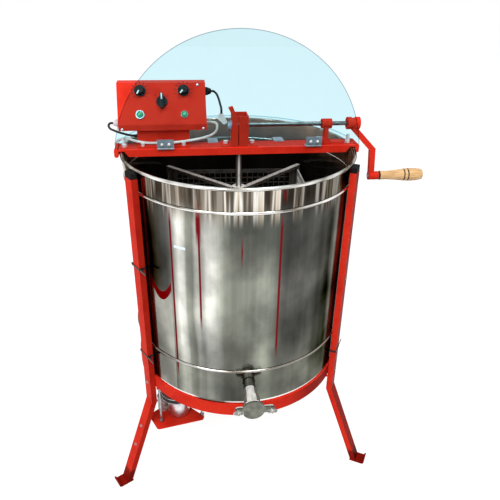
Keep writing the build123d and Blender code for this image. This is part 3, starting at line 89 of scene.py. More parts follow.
def placement(origin: Vector, axes: tuple[Vector, Vector, Vector]) -> Matrix:
    """Return the matrix that puts a thing at an origin, turned along its x, y and z axes."""
    turn = Matrix([[axis[row] for axis in axes] for row in range(3)])
    return Matrix.Translation(origin) @ turn.to_4x4()


def new_object(name: str, data: bpy.types.ID) -> bpy.types.Object:
    """Return a new object for a mesh, lamp or camera, linked into the scene."""
    made = bpy.data.objects.new(name, data)
    bpy.context.scene.collection.objects.link(made)
    return made


def grey(level: float) -> Colour:
    """Return a neutral colour."""
    return (level, level, level)


def scaled_colour(colour: Colour, factor: float) -> Colour:
    """Return a colour multiplied by a factor, with no channel above 1 when it is brightened."""
    return tuple(min(1.0, channel * factor) for channel in colour)


def turn_share(angle: float) -> float:
    """Return an angle from the front in degrees as a share of the turn, with the front at one half."""
    return 0.5 + angle / 360


# ---- Node graphs ------------------------------------------------------------------------------
class Tree:
    """A node tree, written node by node."""

    def __init__(self, tree: bpy.types.NodeTree) -> None:
        """Take over a node tree and empty it."""
        self.tree = tree
        tree.nodes.clear()

    def add(self, kind: str, **settings: object) -> bpy.types.Node:
        """Add a node.

        Args:
            kind: Blender's type name of the node.
            **settings: Attributes to set on it.

        Returns:
            The node.
        """
        node = self.tree.nodes.new(kind)
        for key, value in settings.items():
            setattr(node, key, value)
        return node

    def link(self, source: Socket, target: Socket) -> None:
        """Join an output to an input."""
        self.tree.links.new(source, target)

    def math(self, operation: str, a: object, b: object = 0.0) -> Socket:
        """Return a math node's output.

        Args:
            operation: Blender's name of the operation.
            a: Socket or number.
            b: Socket or number.

        Returns:
            The value output.
        """
        node = self.add("ShaderNodeMath", operation=operation)
        for index, value in enumerate((a, b)):
            if isinstance(value, (int, float)):
                node.inputs[index].default_value = value
            else:
                self.link(value, node.inputs[index])
        return node.outputs[0]

    def blend(self, factor: Socket, first: Socket, second: Socket) -> Socket:
        """Return two shaders mixed, where the factor is the second one's share."""
        node = self.add("ShaderNodeMixShader")
        self.link(factor, node.inputs[0])
        self.link(first, node.inputs[1])
        self.link(second, node.inputs[2])
        return node.outputs[0]

    def seen(self) -> Socket:
        """Return 1 for camera, glossy and transmission rays."""
        path = self.add("ShaderNodeLightPath")
        total = path.outputs["Is Camera Ray"]
        for name in ("Is Glossy Ray", "Is Transmission Ray"):
            total = self.math("MAXIMUM", total, path.outputs[name])
        return total


class Graph(Tree):
    """One material's node tree with a Principled shader."""

    def __init__(self, name: str) -> None:
        """Make an empty material.

        Args:
            name: Name of the material.
        """
        self.material = bpy.data.materials.new(name)
        self.material.use_nodes = True
        super().__init__(self.material.node_tree)
        self.output = self.add("ShaderNodeOutputMaterial")
        self.shader = self.add("ShaderNodeBsdfPrincipled")
        self.link(self.shader.outputs[0], self.output.inputs[0])

    def feed(self, name: str, source: Socket) -> None:
        """Join an output to one of the shader's sockets."""
        self.link(source, self.shader.inputs[name])

    def set(self, **values: object) -> None:
        """Set the shader's own sockets, with underscores for the blanks in their names."""
        for key, value in values.items():
            self.shader.inputs[key.replace("_", " ")].default_value = value

    def place(self, scale: Colour = (1.0, 1.0, 1.0), origin: Vector | None = None) -> Socket:
        """Return object coordinates about an origin, scaled.

        Args:
            scale: Scale along each axis.
            origin: Point in metres that maps to zero, or none.

        Returns:
            The vector output.
        """
        coords = self.add("ShaderNodeTexCoord").outputs["Object"]
        if origin is not None:
            shift = self.add("ShaderNodeVectorMath", operation="SUBTRACT")
            shift.inputs[1].default_value = origin
            self.link(coords, shift.inputs[0])
            coords = shift.outputs[0]
        mapping = self.add("ShaderNodeMapping")
        mapping.inputs["Scale"].default_value = scale
        self.link(coords, mapping.inputs["Vector"])
        return mapping.outputs[0]

    def split(self, vector: Socket) -> tuple[Socket, ...]:
        """Return a vector's x, y and z outputs."""
        node = self.add("ShaderNodeSeparateXYZ")
        self.link(vector, node.inputs[0])
        return tuple(node.outputs)

    def facing(self) -> tuple[Socket, ...]:
        """Return the x, y and z outputs of the normal in the object's own axes."""
        return self.split(self.add("ShaderNodeTexCoord").outputs["Normal"])

    def noise(self, scale: float, detail: float, vector: Socket | None = None) -> Socket:
        """Return a noise pattern's value.

        Args:
            scale: Noise scale.
            detail: Number of octaves.
            vector: Coordinates, or none for the object's own.

        Returns:
            The factor output.
        """
        node = self.add("ShaderNodeTexNoise")
        node.inputs["Scale"].default_value = scale
        node.inputs["Detail"].default_value = detail
        self.link(self.place() if vector is None else vector, node.inputs["Vector"])
        return node.outputs[0]

    def ramp(self, factor: Socket, stops: list[tuple[float, Colour]]) -> Socket:
        """Return a colour ramp over a factor.

        Args:
            factor: Value from 0 to 1.
            stops: Position and colour of each stop.

        Returns:
            The colour output.
        """
        node = self.add("ShaderNodeValToRGB")
        elements = node.color_ramp.elements
        while len(elements) < len(stops):
            elements.new(0.5)
        for element, (position, colour) in zip(elements, stops):
            element.position = position
            element.color = (*colour, 1.0)
        self.link(factor, node.inputs[0])
        return node.outputs[0]

    def scaled(self, factor: Socket, low: float, high: float) -> Socket:
        """Return a 0 to 1 value mapped to a range."""
        node = self.add("ShaderNodeMapRange")
        node.inputs["To Min"].default_value = low
        node.inputs["To Max"].default_value = high
        self.link(factor, node.inputs[0])
        return node.outputs[0]

    def rise(self, value: Socket, low: float, high: float) -> Socket:
        """Return a smooth rise from 0 to 1 between two values."""
        node = self.add("ShaderNodeMapRange", interpolation_type="SMOOTHSTEP")
        node.inputs["From Min"].default_value = low
        node.inputs["From Max"].default_value = high
        self.link(value, node.inputs[0])
        return node.outputs[0]

    def within(self, value: Socket, middle: float, half: float) -> Socket:
        """Return how far a value lies from a middle, where 1 is a half width."""
        return self.math("DIVIDE", self.math("ABSOLUTE", self.math("SUBTRACT", value, middle)), half)

    def mix(self, factor: object, a: object, b: object, blend: str = "MIX") -> Socket:
        """Return two colours mixed.

        Args:
            factor: Socket or number.
            a: First colour or socket.
            b: Second colour or socket.
            blend: Blender's name of the blend.

        Returns:
            The colour output.
        """
        node = self.add("ShaderNodeMix", data_type="RGBA", blend_type=blend)
        for socket, value in ((node.inputs[0], factor), (node.inputs[6], a), (node.inputs[7], b)):
            if isinstance(value, (int, float)):
                socket.default_value = value
            elif isinstance(value, tuple):
                socket.default_value = (*value, 1.0)
            else:
                self.link(value, socket)
        return node.outputs[2]

    def shade(self, colour: object, *veils: object) -> Socket:
        """Return a colour multiplied by one or more others."""
        for veil in veils:
            colour = self.mix(1.0, colour, veil, "MULTIPLY")
        return colour

    def mottle(self, factor: Socket, colour: Colour, low: float, high: float) -> Socket:
        """Return a colour that a pattern darkens and brightens by two factors."""
        return self.ramp(factor, [(0.3, scaled_colour(colour, low)), (0.7, scaled_colour(colour, high))])

    def bump(self, height: Socket, strength: float, distance: float) -> None:
        """Bump the shader's normal with a height.

        Args:
            height: Height from 0 to 1.
            strength: Strength of the bump.
            distance: Height of 1 in metres.
        """
        node = self.add("ShaderNodeBump")
        node.inputs["Strength"].default_value = strength
        node.inputs["Distance"].default_value = distance
        self.link(height, node.inputs["Height"])
        self.feed("Normal", node.outputs[0])


# ---- Finishes ---------------------------------------------------------------------------------
class Finish:
    """A surface finish that makes its material once."""

    made: dict[str, bpy.types.Material] = {}

    def material(self) -> bpy.types.Material:
        """Return the finish's material, made on first use."""
        key = repr(self)
        if key not in Finish.made:
            Finish.made[key] = self.build()
        return Finish.made[key]

    def build(self) -> bpy.types.Material:
        """Make the material."""
        raise NotImplementedError


class DrumGraph(Graph):
    """A node graph with the place on the drum: distance from its axis, turn about it and height."""

    def __init__(self, name: str) -> None:
        """Make an empty material and work out the place."""
        super().__init__(name)
        x, y, self.height = self.split(self.place(origin=drum_axis()))
        squares = self.math("ADD", self.math("MULTIPLY", x, x), self.math("MULTIPLY", y, y))
        self.spread = self.math("SQRT", squares)
        angle = self.math("ARCTAN2", x, self.math("MULTIPLY", y, -1.0))
        self.turn = self.math("ADD", self.math("DIVIDE", angle, 2 * math.pi), 0.5)

    def pattern(self, scale: Colour, grain: tuple[float, float]) -> Socket:
        """Return a noise pattern about the drum's axis.

        Args:
            scale: Scale along each axis.
            grain: Noise scale and number of octaves.

        Returns:
            The factor output.
        """
        return self.noise(*grain, self.place(scale, drum_axis()))

    def levels(self, stops: tuple[tuple[float, float], ...]) -> Socket:
        """Return grey levels over the turn.

        Args:
            stops: Angle from the front in degrees and level of each stop.

        Returns:
            The colour output.
        """
        return self.ramp(self.turn, [(turn_share(angle), grey(level)) for angle, level in stops])


@dataclass(frozen=True)
class PolishedDrum(Finish):
    """Mirror-polished stainless wall with cloudy polishing, whose colour is painted reflections: upright
    bands, cloudy patches, sharper streaks at the top.
    """

    radius: float = 0.270
    wall: float = 1.5 * MM
    proud: float = 0.5 * MM
    roughness: float = 0.11
    edge: Colour = (0.20, 0.20, 0.18)
    sway: float = 0.010
    # Streak and cloud tones mottle the painted reflections.
    streak_tones: tuple[Colour, ...] = ((0.72, 0.71, 0.70), (1.0, 1.0, 1.0), (1.35, 1.35, 1.32))
    cloud_tones: tuple[Colour, ...] = ((0.52, 0.53, 0.53), (1.0, 1.0, 1.0), (1.75, 1.75, 1.72))
    # Painted reflections: plain tone, calmer levels towards the foot, and the band of sharp streaks at the
    # top.
    plain_steel: Colour = (0.135, 0.142, 0.118)
    calm_levels: tuple[tuple[float, float], ...] = ((0.40, 0.75), (0.425, 0.75), (0.43, 0.50), (0.62, 0.0))
    band_low: float = 0.786
    band_high: float = 0.846
    band_ragged: tuple[float, float] = (-0.030, 0.020)
    upper_brown: Colour = (0.42, 0.33, 0.28)
    # Painted glitter highlights on the rolled ribs.
    bead: Colour = (0.62, 0.61, 0.57)
    bead_dark: Colour = (0.20, 0.18, 0.15)
    bead_bright: Colour = (0.95, 0.94, 0.92)
    bead_places: tuple[tuple[float, float, float], ...] = ((0.36, 0.50, 0.62), (0.44, 0.56, 0.66))
    # Painted highlight line along the drum's foot.
    foot_line: float = 7.0 * MM
    # Painted shade inside the drum: a brown tone going to near black further down.
    inside: Colour = (0.36, 0.17, 0.105)
    inside_deep_shade: Colour = (0.010, 0.008, 0.006)
    inside_shade_span: tuple[float, float] = (0.80, 0.875)
    inside_dull: float = 0.7
    # Painted reflections on the left: a pale pool under a red arch, and a short pale dash.
    pool_angle: float = -46.5
    pool_half: float = 7.0
    pool_top: float = 0.606
    pool_rise: float = 0.035
    pool_pale: Colour = (0.26, 0.26, 0.235)
    arch_tall: float = 0.022
    dash_angle: float = -33.5
    dash_half: float = 3.0
    dash_height: float = 0.735
    dash_thick: float = 3.0 * MM
    dash: Colour = (0.74, 0.82, 0.90)
    # Red glints: painted reflections of the red stand.
    red_glint: Colour = (0.16, 0.008, 0.010)
    glint_fade: float = 25.0
    glints: tuple[tuple[float, float, tuple[float, float]], ...] = (
        (-38.1, 0.75, (0.37, 0.83)), (-23.7, 0.65, (0.53, 0.83)), (-23.9, 1.5, (0.74, 0.85)),
        (13.0, 0.75, (0.45, 0.83)), (13.8, 1.3, (0.84, 0.885)), (-4.5, 0.5, (0.70, 0.78)),
    )

    def glint(self, graph: DrumGraph, place: float, width: float, span: tuple[float, float]) -> Socket:
        """Return a thin upright glint, a painted reflection of the red stand.

        Args:
            graph: Node graph that gets the nodes.
            place: Its angle from the front in degrees.
            width: Its half width in degrees.
            span: Lowest and highest point in metres.

        Returns:
            The value output.
        """
        core = graph.math("SUBTRACT", 1.0, graph.within(graph.turn, turn_share(place), width / 360))
        above = graph.math("MULTIPLY", graph.math("SUBTRACT", graph.height, span[0]), self.glint_fade)
        below = graph.math("MULTIPLY", graph.math("SUBTRACT", span[1], graph.height), self.glint_fade)
        ends = graph.math("MINIMUM", graph.math("MINIMUM", above, below), 1.0)
        clipped = graph.math("MINIMUM", graph.math("MULTIPLY", graph.math("MAXIMUM", core, 0.0), 2.0), 1.0)
        return graph.math("MULTIPLY", clipped, graph.math("MAXIMUM", ends, 0.0))

    def pool(self, graph: DrumGraph, colour: Socket, veil: Socket) -> Socket:
        """Return the colour with painted reflections on the left: the pale pool, its red arch and the short
        dash.

        Args:
            graph: Node graph that gets the nodes.
            colour: Colour so far.
            veil: Cloudy pattern that mottles the painted reflections.

        Returns:
            The colour output.
        """
        away = graph.within(graph.turn, turn_share(self.pool_angle), self.pool_half / 360)
        inside = graph.math("LESS_THAN", away, 1.0)
        brim = graph.math("MULTIPLY", graph.math("MULTIPLY", away, away), self.pool_rise)
        depth = graph.math("SUBTRACT", graph.math("ADD", brim, self.pool_top), graph.height)
        arch = graph.math("MULTIPLY", inside, graph.math("GREATER_THAN", depth, 0.0))
        pale = graph.math("MULTIPLY", inside, graph.math("GREATER_THAN", depth, self.arch_tall))
        colour = graph.mix(arch, colour, self.red_glint)
        colour = graph.mix(pale, colour, graph.shade(self.pool_pale, veil))
        long = graph.within(graph.turn, turn_share(self.dash_angle), self.dash_half / 360)
        thin = graph.within(graph.height, self.dash_height, self.dash_thick)
        dash = graph.math("MULTIPLY", graph.math("LESS_THAN", long, 1.0), graph.math("LESS_THAN", thin, 1.0))
        return graph.mix(dash, colour, self.dash)

    def bands(self, graph: DrumGraph) -> Socket:
        """Return the broad upright bands of painted reflection, calmer towards the foot.

        Args:
            graph: Node graph that gets the nodes.

        Returns:
            The colour output.
        """
        warm, green, plain = (1.0, 0.86, 0.70), (0.96, 1.0, 0.86), (1.0, 1.0, 0.93)
        tones = (
            (-180, 0.14, green), (-120, 0.22, plain), (-90, 0.05, warm), (-64, 0.42, plain),
            (-56, 0.42, plain), (-54, 0.035, warm), (-47, 0.05, warm), (-42, 0.085, plain),
            (-39, 0.12, plain), (-36.5, 0.32, plain), (-33.5, 0.66, plain), (-31, 0.56, plain),
            (-29.5, 0.28, green), (-26.5, 0.23, green), (-25, 0.48, plain), (-22.5, 0.34, plain),
            (-19, 0.64, plain), (-16, 0.58, plain), (-13.5, 0.34, green), (-10, 0.19, green),
            (-6, 0.14, green), (5, 0.18, green), (12, 0.16, green), (15, 0.110, plain),
            (26, 0.095, plain), (44, 0.080, plain), (47, 0.30, plain), (60, 0.42, plain),
            (68, 0.08, warm), (116, 0.16, green), (140, 0.28, plain),
        )
        wobble = graph.pattern((3.0, 3.0, 2.0), (1.6, 3.0))
        swayed = graph.math("ADD", graph.turn, graph.scaled(wobble, -self.sway, self.sway))
        stops = [(turn_share(angle), scaled_colour(tint, level)) for angle, level, tint in tones]
        calm = graph.ramp(graph.height, [(place, grey(level)) for place, level in self.calm_levels])
        return graph.mix(calm, graph.ramp(swayed, stops), self.plain_steel)

    def upper(self, graph: DrumGraph, lower: Socket) -> Socket:
        """Return the wall's colour with the sharp painted reflection streaks of its upper part.

        Args:
            graph: Node graph that gets the nodes.
            lower: Colour of the lower part.

        Returns:
            The colour output.
        """
        sharp = graph.pattern((27.0, 27.0, 1.0), (1.5, 2.5))
        stripes = graph.ramp(sharp, [
            (0.36, (0.008, 0.007, 0.006)), (0.44, (0.035, 0.026, 0.020)), (0.49, (0.16, 0.13, 0.10)),
            (0.54, (0.90, 0.88, 0.82)), (0.58, (0.62, 0.52, 0.40)), (0.62, (0.05, 0.04, 0.03)),
            (0.70, (0.30, 0.27, 0.22)),
        ])
        share = graph.levels(((-62, 0.40), (-21, 0.40), (-18, 0.95), (14, 0.95), (17, 0.35), (62, 0.45)))
        top = graph.mix(share, graph.shade(lower, self.upper_brown), stripes)
        ragged = graph.math("ADD", graph.height, graph.scaled(sharp, *self.band_ragged))
        return graph.mix(graph.rise(ragged, self.band_low, self.band_high), lower, top)

    def ribs(self, graph: DrumGraph) -> Socket:
        """Return the rolled ribs' painted glitter highlights, with painted shade dulling the lower rib
        towards the right.

        Args:
            graph: Node graph that gets the nodes.

        Returns:
            The colour output.
        """
        glitter = graph.pattern((9.0, 9.0, 60.0), (1.6, 3.0))
        tones = (self.bead_dark, self.bead, self.bead_bright)
        upper_bead_glitter, worn_paint_and_lower_bead_glitter = (graph.ramp(glitter, list(zip(places, tones))) for places in self.bead_places)
        # Painted shade on the lower rib, from just right of the front onwards.
        paint_wear_and_bead_shade = graph.levels(((-30, 0.35), (4, 0.35), (9, 0.85)))
        low = graph.math("LESS_THAN", graph.height, self.pool_top)
        return graph.mix(low, upper_bead_glitter, graph.mix(paint_wear_and_bead_shade, worn_paint_and_lower_bead_glitter, self.bead_dark))

    def foot(self, graph: DrumGraph, colour: Socket) -> Socket:
        """Return the colour with a painted highlight line along the drum's foot.

        Args:
            graph: Node graph that gets the nodes.
            colour: Colour so far.

        Returns:
            The colour output.
        """
        line = graph.math("LESS_THAN", graph.height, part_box("base_hoop")[1][2] + self.foot_line)
        shine = graph.pattern((5.0, 5.0, 1.0), (1.5, 2.0))
        gleam = graph.ramp(shine, [(0.38, self.plain_steel), (0.48, self.bead_bright)])
        return graph.mix(line, colour, gleam)

    def build(self) -> bpy.types.Material:
        """Make the material.

        Returns:
            The polished drum material.
        """
        graph = DrumGraph("polished_drum")
        graph.set(Specular_Tint=(*self.edge, 1.0))
        # Streaks and clouds mottle the painted reflections; the clouds also set the roughness and the streaks
        # the bump.
        streaks = graph.pattern((20.0, 20.0, 0.55), (1.4, 4.0))
        tone = graph.ramp(streaks, list(zip((0.32, 0.50, 0.70), self.streak_tones)))
        clouds = graph.pattern((7.0, 7.0, 5.0), (1.3, 5.0))
        veil = graph.ramp(clouds, list(zip((0.34, 0.52, 0.68), self.cloud_tones)))
        lower = graph.shade(self.bands(graph), tone, veil)
        colour = self.pool(graph, self.upper(graph, lower), veil)
        for place, width, span in self.glints:
            colour = graph.mix(self.glint(graph, place, width, span), colour, self.red_glint)
        rib = graph.math("GREATER_THAN", graph.spread, self.radius + self.proud)
        colour = self.foot(graph, graph.mix(rib, colour, self.ribs(graph)))
        # Painted shade inside the drum, darker further down.
        hollow = graph.math("LESS_THAN", graph.spread, self.radius - self.wall / 2)
        depth = graph.rise(graph.height, *self.inside_shade_span)
        shaded = graph.shade(graph.mix(depth, self.inside_deep_shade, self.inside), tone, veil)
        graph.feed("Base Color", graph.mix(hollow, colour, shaded))
        graph.feed("Metallic", graph.math("SUBTRACT", 1.0, graph.math("MULTIPLY", hollow, self.inside_dull)))
        graph.feed("Roughness", graph.scaled(clouds, self.roughness - 0.04, self.roughness + 0.06))
        graph.bump(streaks, 0.04, 0.4 * MM)
        return graph.material


@dataclass(frozen=True)
class Metal(Finish):
    """Plain metal with fine scratches and tonal variation."""

    name: str
    colour: Colour
    roughness: float = 0.25
    contrast: float = 0.35
    grain: float = 60.0
    bump: float = 0.08
    metallic: float = 1.0

    def build(self) -> bpy.types.Material:
        """Make the material.

        Returns:
            The metal material.
        """
        graph = Graph(self.name)
        graph.set(Metallic=self.metallic)
        broad = graph.noise(self.grain, 4.0)
        graph.feed("Base Color", graph.mottle(broad, self.colour, 1 - self.contrast, 1 + self.contrast))
        fine = graph.noise(self.grain * 12, 3.0)
        graph.feed("Roughness", graph.scaled(fine, self.roughness * 0.7, self.roughness * 1.3))
        graph.bump(fine, self.bump, 0.2 * MM)
        return graph.material


@dataclass(frozen=True)
class BasketSteel(Finish):
    """Bright strip steel with a painted highlight on its top faces and painted shade on its sides inside the
    drum.
    """

    name: str
    # Painted highlight colour of the top faces, painted shade colour of the sides.
    top: Colour = (0.92, 0.90, 0.86)
    side: Colour = (0.10, 0.085, 0.070)
    shine: float = 0.25
    roughness: float = 0.28

    def bright(self, graph: Graph) -> Socket:
        """Return 1 where the painted highlight goes, on faces turned up.

        Args:
            graph: Node graph that gets the nodes.

        Returns:
            The value output.
        """
        return graph.math("GREATER_THAN", graph.facing()[2], 0.5)

    def build(self) -> bpy.types.Material:
        """Make the material.

        Returns:
            The basket steel material.
        """
        graph = Graph(self.name)
        graph.set(Metallic=self.shine)
        grain = graph.noise(70.0, 4.0)
        top = graph.ramp(grain, [(0.35, scaled_colour(self.top, 0.75)), (0.60, self.top)])
        graph.feed("Base Color", graph.mix(self.bright(graph), self.side, top))
        graph.feed("Roughness", graph.scaled(grain, self.roughness - 0.08, self.roughness + 0.10))
        graph.bump(grain, 0.05, 0.2 * MM)
        return graph.material


@dataclass(frozen=True)
class ShaftSteel(BasketSteel):
    """Round bright steel with one upright painted highlight."""

    highlight: float = 0.38

    def bright(self, graph: Graph) -> Socket:
        """Return 1 on the strip of the round steel that takes the painted highlight.

        Args:
            graph: Node graph that gets the nodes.

        Returns:
            The value output.
        """
        across, depth, _ = graph.facing()
        front = graph.math("LESS_THAN", graph.math("ABSOLUTE", across), self.highlight)
        return graph.math("MULTIPLY", front, graph.math("LESS_THAN", depth, 0.0))


@dataclass(frozen=True)
class PipeSteel(BasketSteel):
    """Round bright steel with one painted highlight along a pipe that points to the front."""

    middle: float = -0.10
    half: float = 0.58

    def bright(self, graph: Graph) -> Socket:
        """Return 1 on the strip of the pipe that takes the painted highlight.

        Args:
            graph: Node graph that gets the nodes.

        Returns:
            The value output.
        """
        across, _, up = graph.facing()
        strip = graph.math("LESS_THAN", graph.within(across, self.middle, self.half), 1.0)
        return graph.math("MULTIPLY", strip, graph.math("GREATER_THAN", up, 0.0))


@dataclass(frozen=True)
class RedPaint(Finish):
    """Glossy red enamel with orange peel and rubbed edges, and painted shade on faces turned right and near
    the floor.
    """

    colour: Colour = (0.78, 0.034, 0.016)
    worn_paint_and_lower_bead_glitter: Colour = (0.90, 0.13, 0.09)
    deep: Colour = (0.66, 0.022, 0.010)
    # Painted shade colours near the floor and on faces turned right.
    painted_low_shade: Colour = (0.34, 0.25, 0.25)
    painted_side_shade: Colour = (0.42, 0.35, 0.35)
    roughness: float = 0.42
    low_shade_top: tuple[float, float] = (0.032, 0.040)
    patch_scale: float = 22.0
    scuff_scale: float = 190.0
    peel_scale: float = 420.0

    def build(self) -> bpy.types.Material:
        """Make the material.

        Returns:
            The red paint material.
        """
        graph = Graph("red_paint")
        graph.set(Specular_IOR_Level=0.10, IOR=1.2)
        patches = graph.noise(self.patch_scale, 5.0)
        base = graph.ramp(patches, [(0.30, self.deep), (0.52, self.colour), (0.8, self.colour)])
        scuffs = graph.noise(self.scuff_scale, 3.0)
        paint_wear_and_bead_shade = graph.ramp(scuffs, [(0.66, grey(0.0)), (0.74, grey(0.5))])
        # Painted shade near the floor, below the low shade top.
        _, _, height = graph.split(graph.place())
        full_shade_height, shade_free_height = self.low_shade_top
        painted_low_shade = graph.ramp(height, [(0.0, self.painted_low_shade), (full_shade_height, self.painted_low_shade), (shade_free_height, grey(1.0))])
        # Painted shade on faces turned to the right (+x).
        side = graph.ramp(graph.facing()[0], [(0.30, grey(1.0)), (0.62, self.painted_side_shade), (1.0, self.painted_side_shade)])
        graph.feed("Base Color", graph.shade(graph.mix(paint_wear_and_bead_shade, base, self.worn_paint_and_lower_bead_glitter), side, painted_low_shade))
        graph.feed("Roughness", graph.scaled(patches, self.roughness - 0.06, self.roughness + 0.10))
        graph.bump(graph.noise(self.peel_scale, 2.0), 0.10, 0.3 * MM)
        return graph.material


@dataclass(frozen=True)
class Plastic(Finish):
    """Moulded plastic or rubber with a fine grained face."""

    name: str
    colour: Colour
    roughness: float = 0.4
    grain: float = 900.0
    bump: float = 0.12
    gloss: float = 0.25
    tones: tuple[float, float] = (0.75, 1.2)

    def build(self) -> bpy.types.Material:
        """Make the material.

        Returns:
            The plastic material.
        """
        graph = Graph(self.name)
        graph.set(Specular_IOR_Level=self.gloss)
        grain = graph.noise(self.grain, 2.0)
        broad = graph.noise(self.grain / 18, 3.0)
        graph.feed("Base Color", graph.mottle(broad, self.colour, *self.tones))
        graph.feed("Roughness", graph.scaled(broad, self.roughness - 0.06, self.roughness + 0.06))
        graph.bump(grain, self.bump, 0.15 * MM)
        return graph.material


@dataclass(frozen=True)
class GlandPair(Finish):
    """A milky white gland on the box's left side and a black one on its right."""

    white: Colour = (0.72, 0.70, 0.72)
    black: Colour = (0.010, 0.009, 0.009)

    def build(self) -> bpy.types.Material:
        """Make the material.

        Returns:
            The gland material.
        """
        graph = Graph("gland_pair")
        graph.set(Specular_IOR_Level=0.12)
        across, _, _ = graph.split(graph.place(origin=centre_of("cable_glands")))
        right = graph.math("GREATER_THAN", across, 0.0)
        grain = graph.noise(400.0, 2.0)
        graph.feed("Base Color", graph.mix(right, self.white, self.black))
        graph.feed("Roughness", graph.scaled(grain, 0.38, 0.55))
        graph.bump(grain, 0.10, 0.15 * MM)
        return graph.material


@dataclass(frozen=True)
class GreenLens(Finish):
    """Clear green moulding with a deeper edge."""

    core: Colour = (0.010, 0.34, 0.12)
    rim: Colour = (0.002, 0.10, 0.04)

    def build(self) -> bpy.types.Material:
        """Make the material.

        Returns:
            The green lens material.
        """
        graph = Graph("green_lens")
        graph.set(Roughness=0.12, Coat_Weight=0.6, Coat_Roughness=0.05)
        facing = graph.add("ShaderNodeLayerWeight")
        facing.inputs[0].default_value = 0.35
        mottled = graph.noise(500.0, 2.0)
        tint = graph.math("MULTIPLY", facing.outputs["Facing"], graph.scaled(mottled, 0.8, 1.2))
        graph.feed("Base Color", graph.mix(tint, self.core, self.rim))
        return graph.material


@dataclass(frozen=True)
class ClearSheet(Finish):
    """Clear plastic sheet with a pale blue tint, faint haze and a darker edge."""

    name: str = "clear_sheet"
    tint: Colour = (0.815, 0.952, 0.982)
    edge: Colour = (0.46, 0.70, 0.76)
    haze: float = 0.04
    gloss: float = 0.035
    node: str = "front_lid"
    radius: float = 0.286
    line: float = 1.5 * MM
    line_colour: Colour = (0.56, 0.66, 0.70)

    def arc(self, graph: Graph) -> Socket:
        """Return 1 in a thin line along the sheet's round edge.

        Args:
            graph: Node graph that gets the nodes.

        Returns:
            The value output.
        """
        middle = centre_of(self.node)
        centre = (middle[0], middle[1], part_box(self.node)[1][2] - self.radius)
        away = graph.add("ShaderNodeVectorMath", operation="LENGTH")
        graph.link(graph.place((1.0, 0.0, 1.0), centre), away.inputs[0])
        return graph.math("GREATER_THAN", away.outputs["Value"], self.radius - self.line)

    def rim(self, graph: Graph) -> Socket:
        """Return 1 on the sheet's cut edge and 0 on its two faces.

        Args:
            graph: Node graph that gets the nodes.

        Returns:
            The value output.
        """
        widest = max(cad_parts[self.node].data.polygons, key=lambda face: face.area)
        across = graph.add("ShaderNodeVectorMath", operation="DOT_PRODUCT")
        graph.link(graph.add("ShaderNodeTexCoord").outputs["Normal"], across.inputs[0])
        across.inputs[1].default_value = widest.normal
        return graph.math("LESS_THAN", graph.math("ABSOLUTE", across.outputs["Value"]), 0.5)

    def build(self) -> bpy.types.Material:
        """Make the material.

        Returns:
            The clear sheet material.
        """
        graph = Graph(self.name)
        clear = graph.add("ShaderNodeBsdfTransparent")
        gloss = graph.add("ShaderNodeBsdfGlossy")
        smears = graph.noise(9.0, 5.0)
        sheet = graph.ramp(smears, [(0.35, scaled_colour(self.tint, 0.985)), (0.65, self.tint)])
        if self.line:
            sheet = graph.mix(self.arc(graph), sheet, self.line_colour)
        graph.link(graph.mix(self.rim(graph), sheet, self.edge), clear.inputs["Color"])
        gloss.inputs["Color"].default_value = (*grey(1.0), 1.0)
        graph.link(graph.scaled(smears, self.haze, 2.5 * self.haze), gloss.inputs["Roughness"])
        fresnel = graph.add("ShaderNodeFresnel")
        fresnel.inputs["IOR"].default_value = 1.45
        share = graph.math("MULTIPLY", fresnel.outputs[0], self.gloss)
        glazed = graph.blend(share, clear.outputs[0], gloss.outputs[0])
        shadow_ray = graph.add("ShaderNodeLightPath").outputs["Is Shadow Ray"]
        no_shadow = graph.add("ShaderNodeBsdfTransparent").outputs[0]
        graph.link(graph.blend(shadow_ray, glazed, no_shadow), graph.output.inputs[0])
        graph.tree.nodes.remove(graph.shader)
        return graph.material


@dataclass(frozen=True)
class TurnedWood(Finish):
    """Light turned wood with grain along the grip and two burnt rings."""

    pale: Colour = (0.82, 0.53, 0.25)
    brown: Colour = (0.58, 0.31, 0.12)
    burnt: Colour = (0.045, 0.022, 0.010)
    rings: tuple[float, float] = (0.58, 0.67)
    ring_width: float = 1.6 * MM

    def build(self) -> bpy.types.Material:
        """Make the material.

        Returns:
            The wood material.
        """
        low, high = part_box("crank_grip")
        middle = centre_of("crank_grip")
        graph = Graph("turned_wood")
        graph.set(Specular_IOR_Level=0.35, Coat_Weight=0.15, Coat_Roughness=0.3)
        grain = graph.noise(9.0, 6.0, graph.place((2.2, 30.0, 30.0), middle))
        fibres = graph.noise(1.0, 3.0, graph.place((14.0, 500.0, 500.0), middle))
        figure = graph.math("ADD", graph.math("MULTIPLY", grain, 0.75), graph.math("MULTIPLY", fibres, 0.25))
        colour = graph.ramp(figure, [(0.36, self.brown), (0.56, self.pale)])
        along, _, _ = graph.split(graph.place(origin=Vector(low)))
        long = high[0] - low[0]
        for share in self.rings:
            ring = graph.math("LESS_THAN", graph.within(along, share * long, self.ring_width), 1.0)
            colour = graph.mix(ring, colour, self.burnt)
        # Dark band, three ring widths long, at the grip's low-x end.
        collar = graph.math("LESS_THAN", along, 3 * self.ring_width)
        graph.feed("Base Color", graph.mix(collar, colour, self.burnt))
        graph.feed("Roughness", graph.scaled(grain, 0.38, 0.55))
        graph.bump(fibres, 0.15, 0.3 * MM)
        return graph.material


